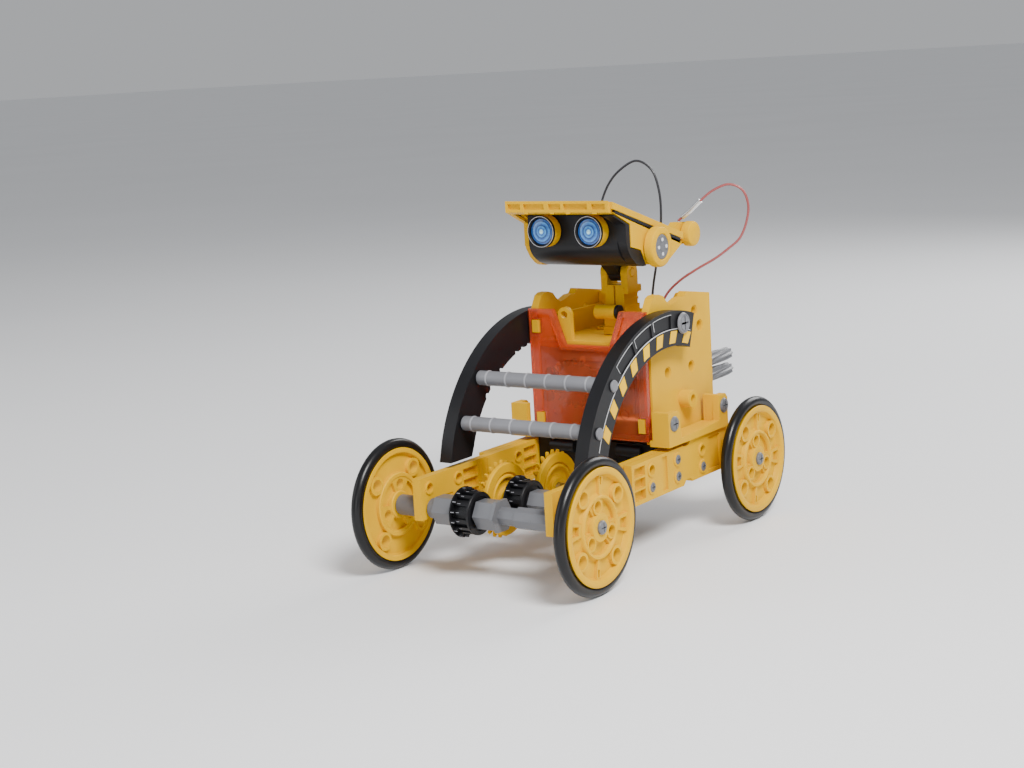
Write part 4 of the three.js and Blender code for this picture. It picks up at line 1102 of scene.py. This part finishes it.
def make_eye(word):
    x, _, z = middle(f"eye_tube_{word}")
    front, back = span(f"eye_tube_{word}")[1]
    tube = turned("Y", [(0, back), (5.6, back), (5.6, front + 1.3), (5.45, front + 1.1), (0, front + 1.1)],
                  x, z, sides=96)
    well = rod("Y", 5.0, front, front + 3, x, z, 96)
    refine(cut(tube, well), f"eye_tube_{word}", YELLOW, "yellow_plastic", bevel=0.12)
    bezel = turned("Y", [(5.58, front + 1.05), (5.58, front + 0.3), (5.35, front), (5.0, front),
                         (4.7, front + 0.45), (4.7, front + 1.05)], x, z, sides=96, closed=True)
    settle(bezel, f"eye_bezel_{word}", "head", BLACK, "black_plastic", bevel=0.08)
    rim = turned("Y", [(5.4, front + 0.1), (5.33, front - 0.02), (5.2, front - 0.02), (5.15, front + 0.1)],
                 x, z, sides=96, closed=True)
    settle(rim, f"eye_rim_{word}", "head", SILVER, "metal", bevel=0)
    lens = turned("Y", [(0, front + 2.7), (4.95, front + 2.7), (4.95, front + 1.1), (4.5, front + 0.85),
                        (3.0, front + 0.62), (1.5, front + 0.52), (0, front + 0.5)], x, z, sides=96)
    refine(lens, f"eye_lens_{word}", iris_with_painted_glow(f"iris_{word}", x, z, 4.7), "eye_disc", bevel=0)


def make_ear(word, sign):
    _, y, z = middle(f"ear_disc_{word}")
    inner, outer = sign * 22.3, sign * 26.0
    disc = turned("X", [(0, inner), (6.6, inner), (7.0, inner + sign * 0.4), (7.0, outer - sign * 0.9),
                        (6.7, outer - sign * 0.3), (6.1, outer), (4.7, outer), (4.4, outer - sign * 0.3),
                        (4.4, outer - sign * 0.8), (0, outer - sign * 0.8)], y, z, sides=96)
    refine(disc, f"ear_disc_{word}", YELLOW, "yellow_plastic", bevel=0.08)
    cap = turned("X", [(0, outer - sign * 0.8), (4.3, outer - sign * 0.8), (4.3, outer - sign * 0.35),
                       (4.0, outer - sign * 0.15), (0, outer - sign * 0.1)], y, z, sides=72)
    wedge_span = sorted((outer - sign * 0.3, outer + sign))
    wedges = [prism(sector(1.5, 3.7, 45 + 90 * k, 44, y, z, 5), "X", *wedge_span) for k in range(4)]
    settle(cut(cap, *wedges), f"ear_cap_{word}", "head", GREY, "grey_plastic", bevel=0.06)
    dots = [rod("X", 0.62, outer - sign * 0.2, outer + sign * 0.02, *polar(2.5, 90 * k, y, z), 20)
            for k in range(4)]
    settle(gather(dots), f"ear_dots_{word}", "head", WHITE, "grey_plastic", bevel=0)


def make_knob(word, sign):
    _, y, z = middle(f"rear_knob_{word}")
    inner, outer = sign * 18.5, sign * 22.3
    knob = turned("X", [(0, sign * 14), (2, sign * 14), (2, inner), (4.1, inner), (4.5, inner + sign * 0.5),
                        (4.5, outer - sign * 0.9), (4.25, outer - sign * 0.35), (3.7, outer - sign * 0.05),
                        (0, outer)], y, z, sides=72)
    refine(knob, f"rear_knob_{word}", YELLOW, "yellow_plastic", bevel=0.1)


def make_terminals():
    """The clip where the red lead starts, and the pad where the black one does."""
    clip = join(box((15.9, 17.9), (45.2, 47.4), (107.9, 108.85)), rod("Z", 0.75, 108.5, 109.0, 17, 46.5))
    settle(clip, "red_lead_clip", "head", SILVER, "metal", bevel=0.12)
    crimp = swept([Vector(point) for point in RED_ROUTE[1:4]], 0.85)
    settle(crimp, "red_lead_crimp", "head", SILVER, "metal", bevel=0)
    pad = rod("Z", 1.0, 105.6, 106.8, -14, 42.3)
    base = box((-15.2, -12.8), (39.6, 43.3), (104.9, 105.9))
    settle(join(pad, base), "black_lead_pad", "head", SILVER, "metal", bevel=0.12)


def make_head_bracket():
    low, high = NECK_X - 2.6, NECK_X + 2.6
    knuckle = turned("X", [(0, low), (3.0, low), (3.22, low + 0.2), (3.22, high - 0.2), (3.0, high),
                           (0, high)], PIVOT_Y, PIVOT_Z)
    bracket = cut(join(cad("head_bracket"), knuckle), rod("X", 1.8, -5, 5, PIVOT_Y, PIVOT_Z))
    refine(bracket, "head_bracket", BLACK, "black_plastic", bevel=0.2)


make_head_shell()
make_solar_panel()
make_face_plate()
make_terminals()
make_head_bracket()
for side_word, side_sign in SIDES:
    make_eye(side_word)
    make_ear(side_word, side_sign)
    make_knob(side_word, side_sign)


# ---- studio
def pale(name, colour):
    material, nodes, links = new_material(name)
    shader = nodes["Principled BSDF"]
    cloud = textured(nodes, links, "ShaderNodeTexNoise", 3.0, Detail=2.0)
    tone = ramp(nodes, links, cloud.outputs["Fac"], [(0.3, colour), (0.7, tuple(c * 1.03 for c in colour))])
    links.new(tone.outputs["Color"], shader.inputs["Base Color"])
    set_inputs(shader, Roughness=0.75)
    return material


def make_floor():
    reach = 30
    floor = prism([(-reach, -reach), (reach, -reach), (reach, reach), (-reach, reach)], "Z", -0.02, -0.0001)
    floor.name = "floor"
    floor.data.materials.append(pale("pale_floor", (0.84, 0.845, 0.86)))


def area_light(name, place, target, size, power, colour=(1, 1, 1)):
    data = bpy.data.lights.new(name, "AREA")
    data.shape = "DISK"
    data.size = size
    data.energy = power
    data.color = colour
    light = bpy.data.objects.new(name, data)
    light.location = place
    light.rotation_euler = (Vector(target) - Vector(place)).to_track_quat("-Z", "Y").to_euler()
    bpy.context.scene.collection.objects.link(light)


def make_lights():
    target = (0, 0, 0.06)
    area_light("key", (0.55, -0.35, 0.75), target, 0.35, 14.5, (1, 0.985, 0.96))
    area_light("fill", (-0.7, -0.6, 0.35), target, 0.6, 1.5, (0.97, 0.98, 1))
    area_light("rim", (0.1, 0.8, 0.55), target, 0.5, 5.0)
    area_light("front", (0.25, -0.9, 0.2), target, 0.4, 1.2)
    world = bpy.data.worlds.new("studio")
    world.use_nodes = True
    world.node_tree.nodes["Background"].inputs["Color"].default_value = (0.90, 0.92, 0.95, 1)
    world.node_tree.nodes["Background"].inputs["Strength"].default_value = 0.5
    bpy.context.scene.world = world


make_floor()
make_lights()
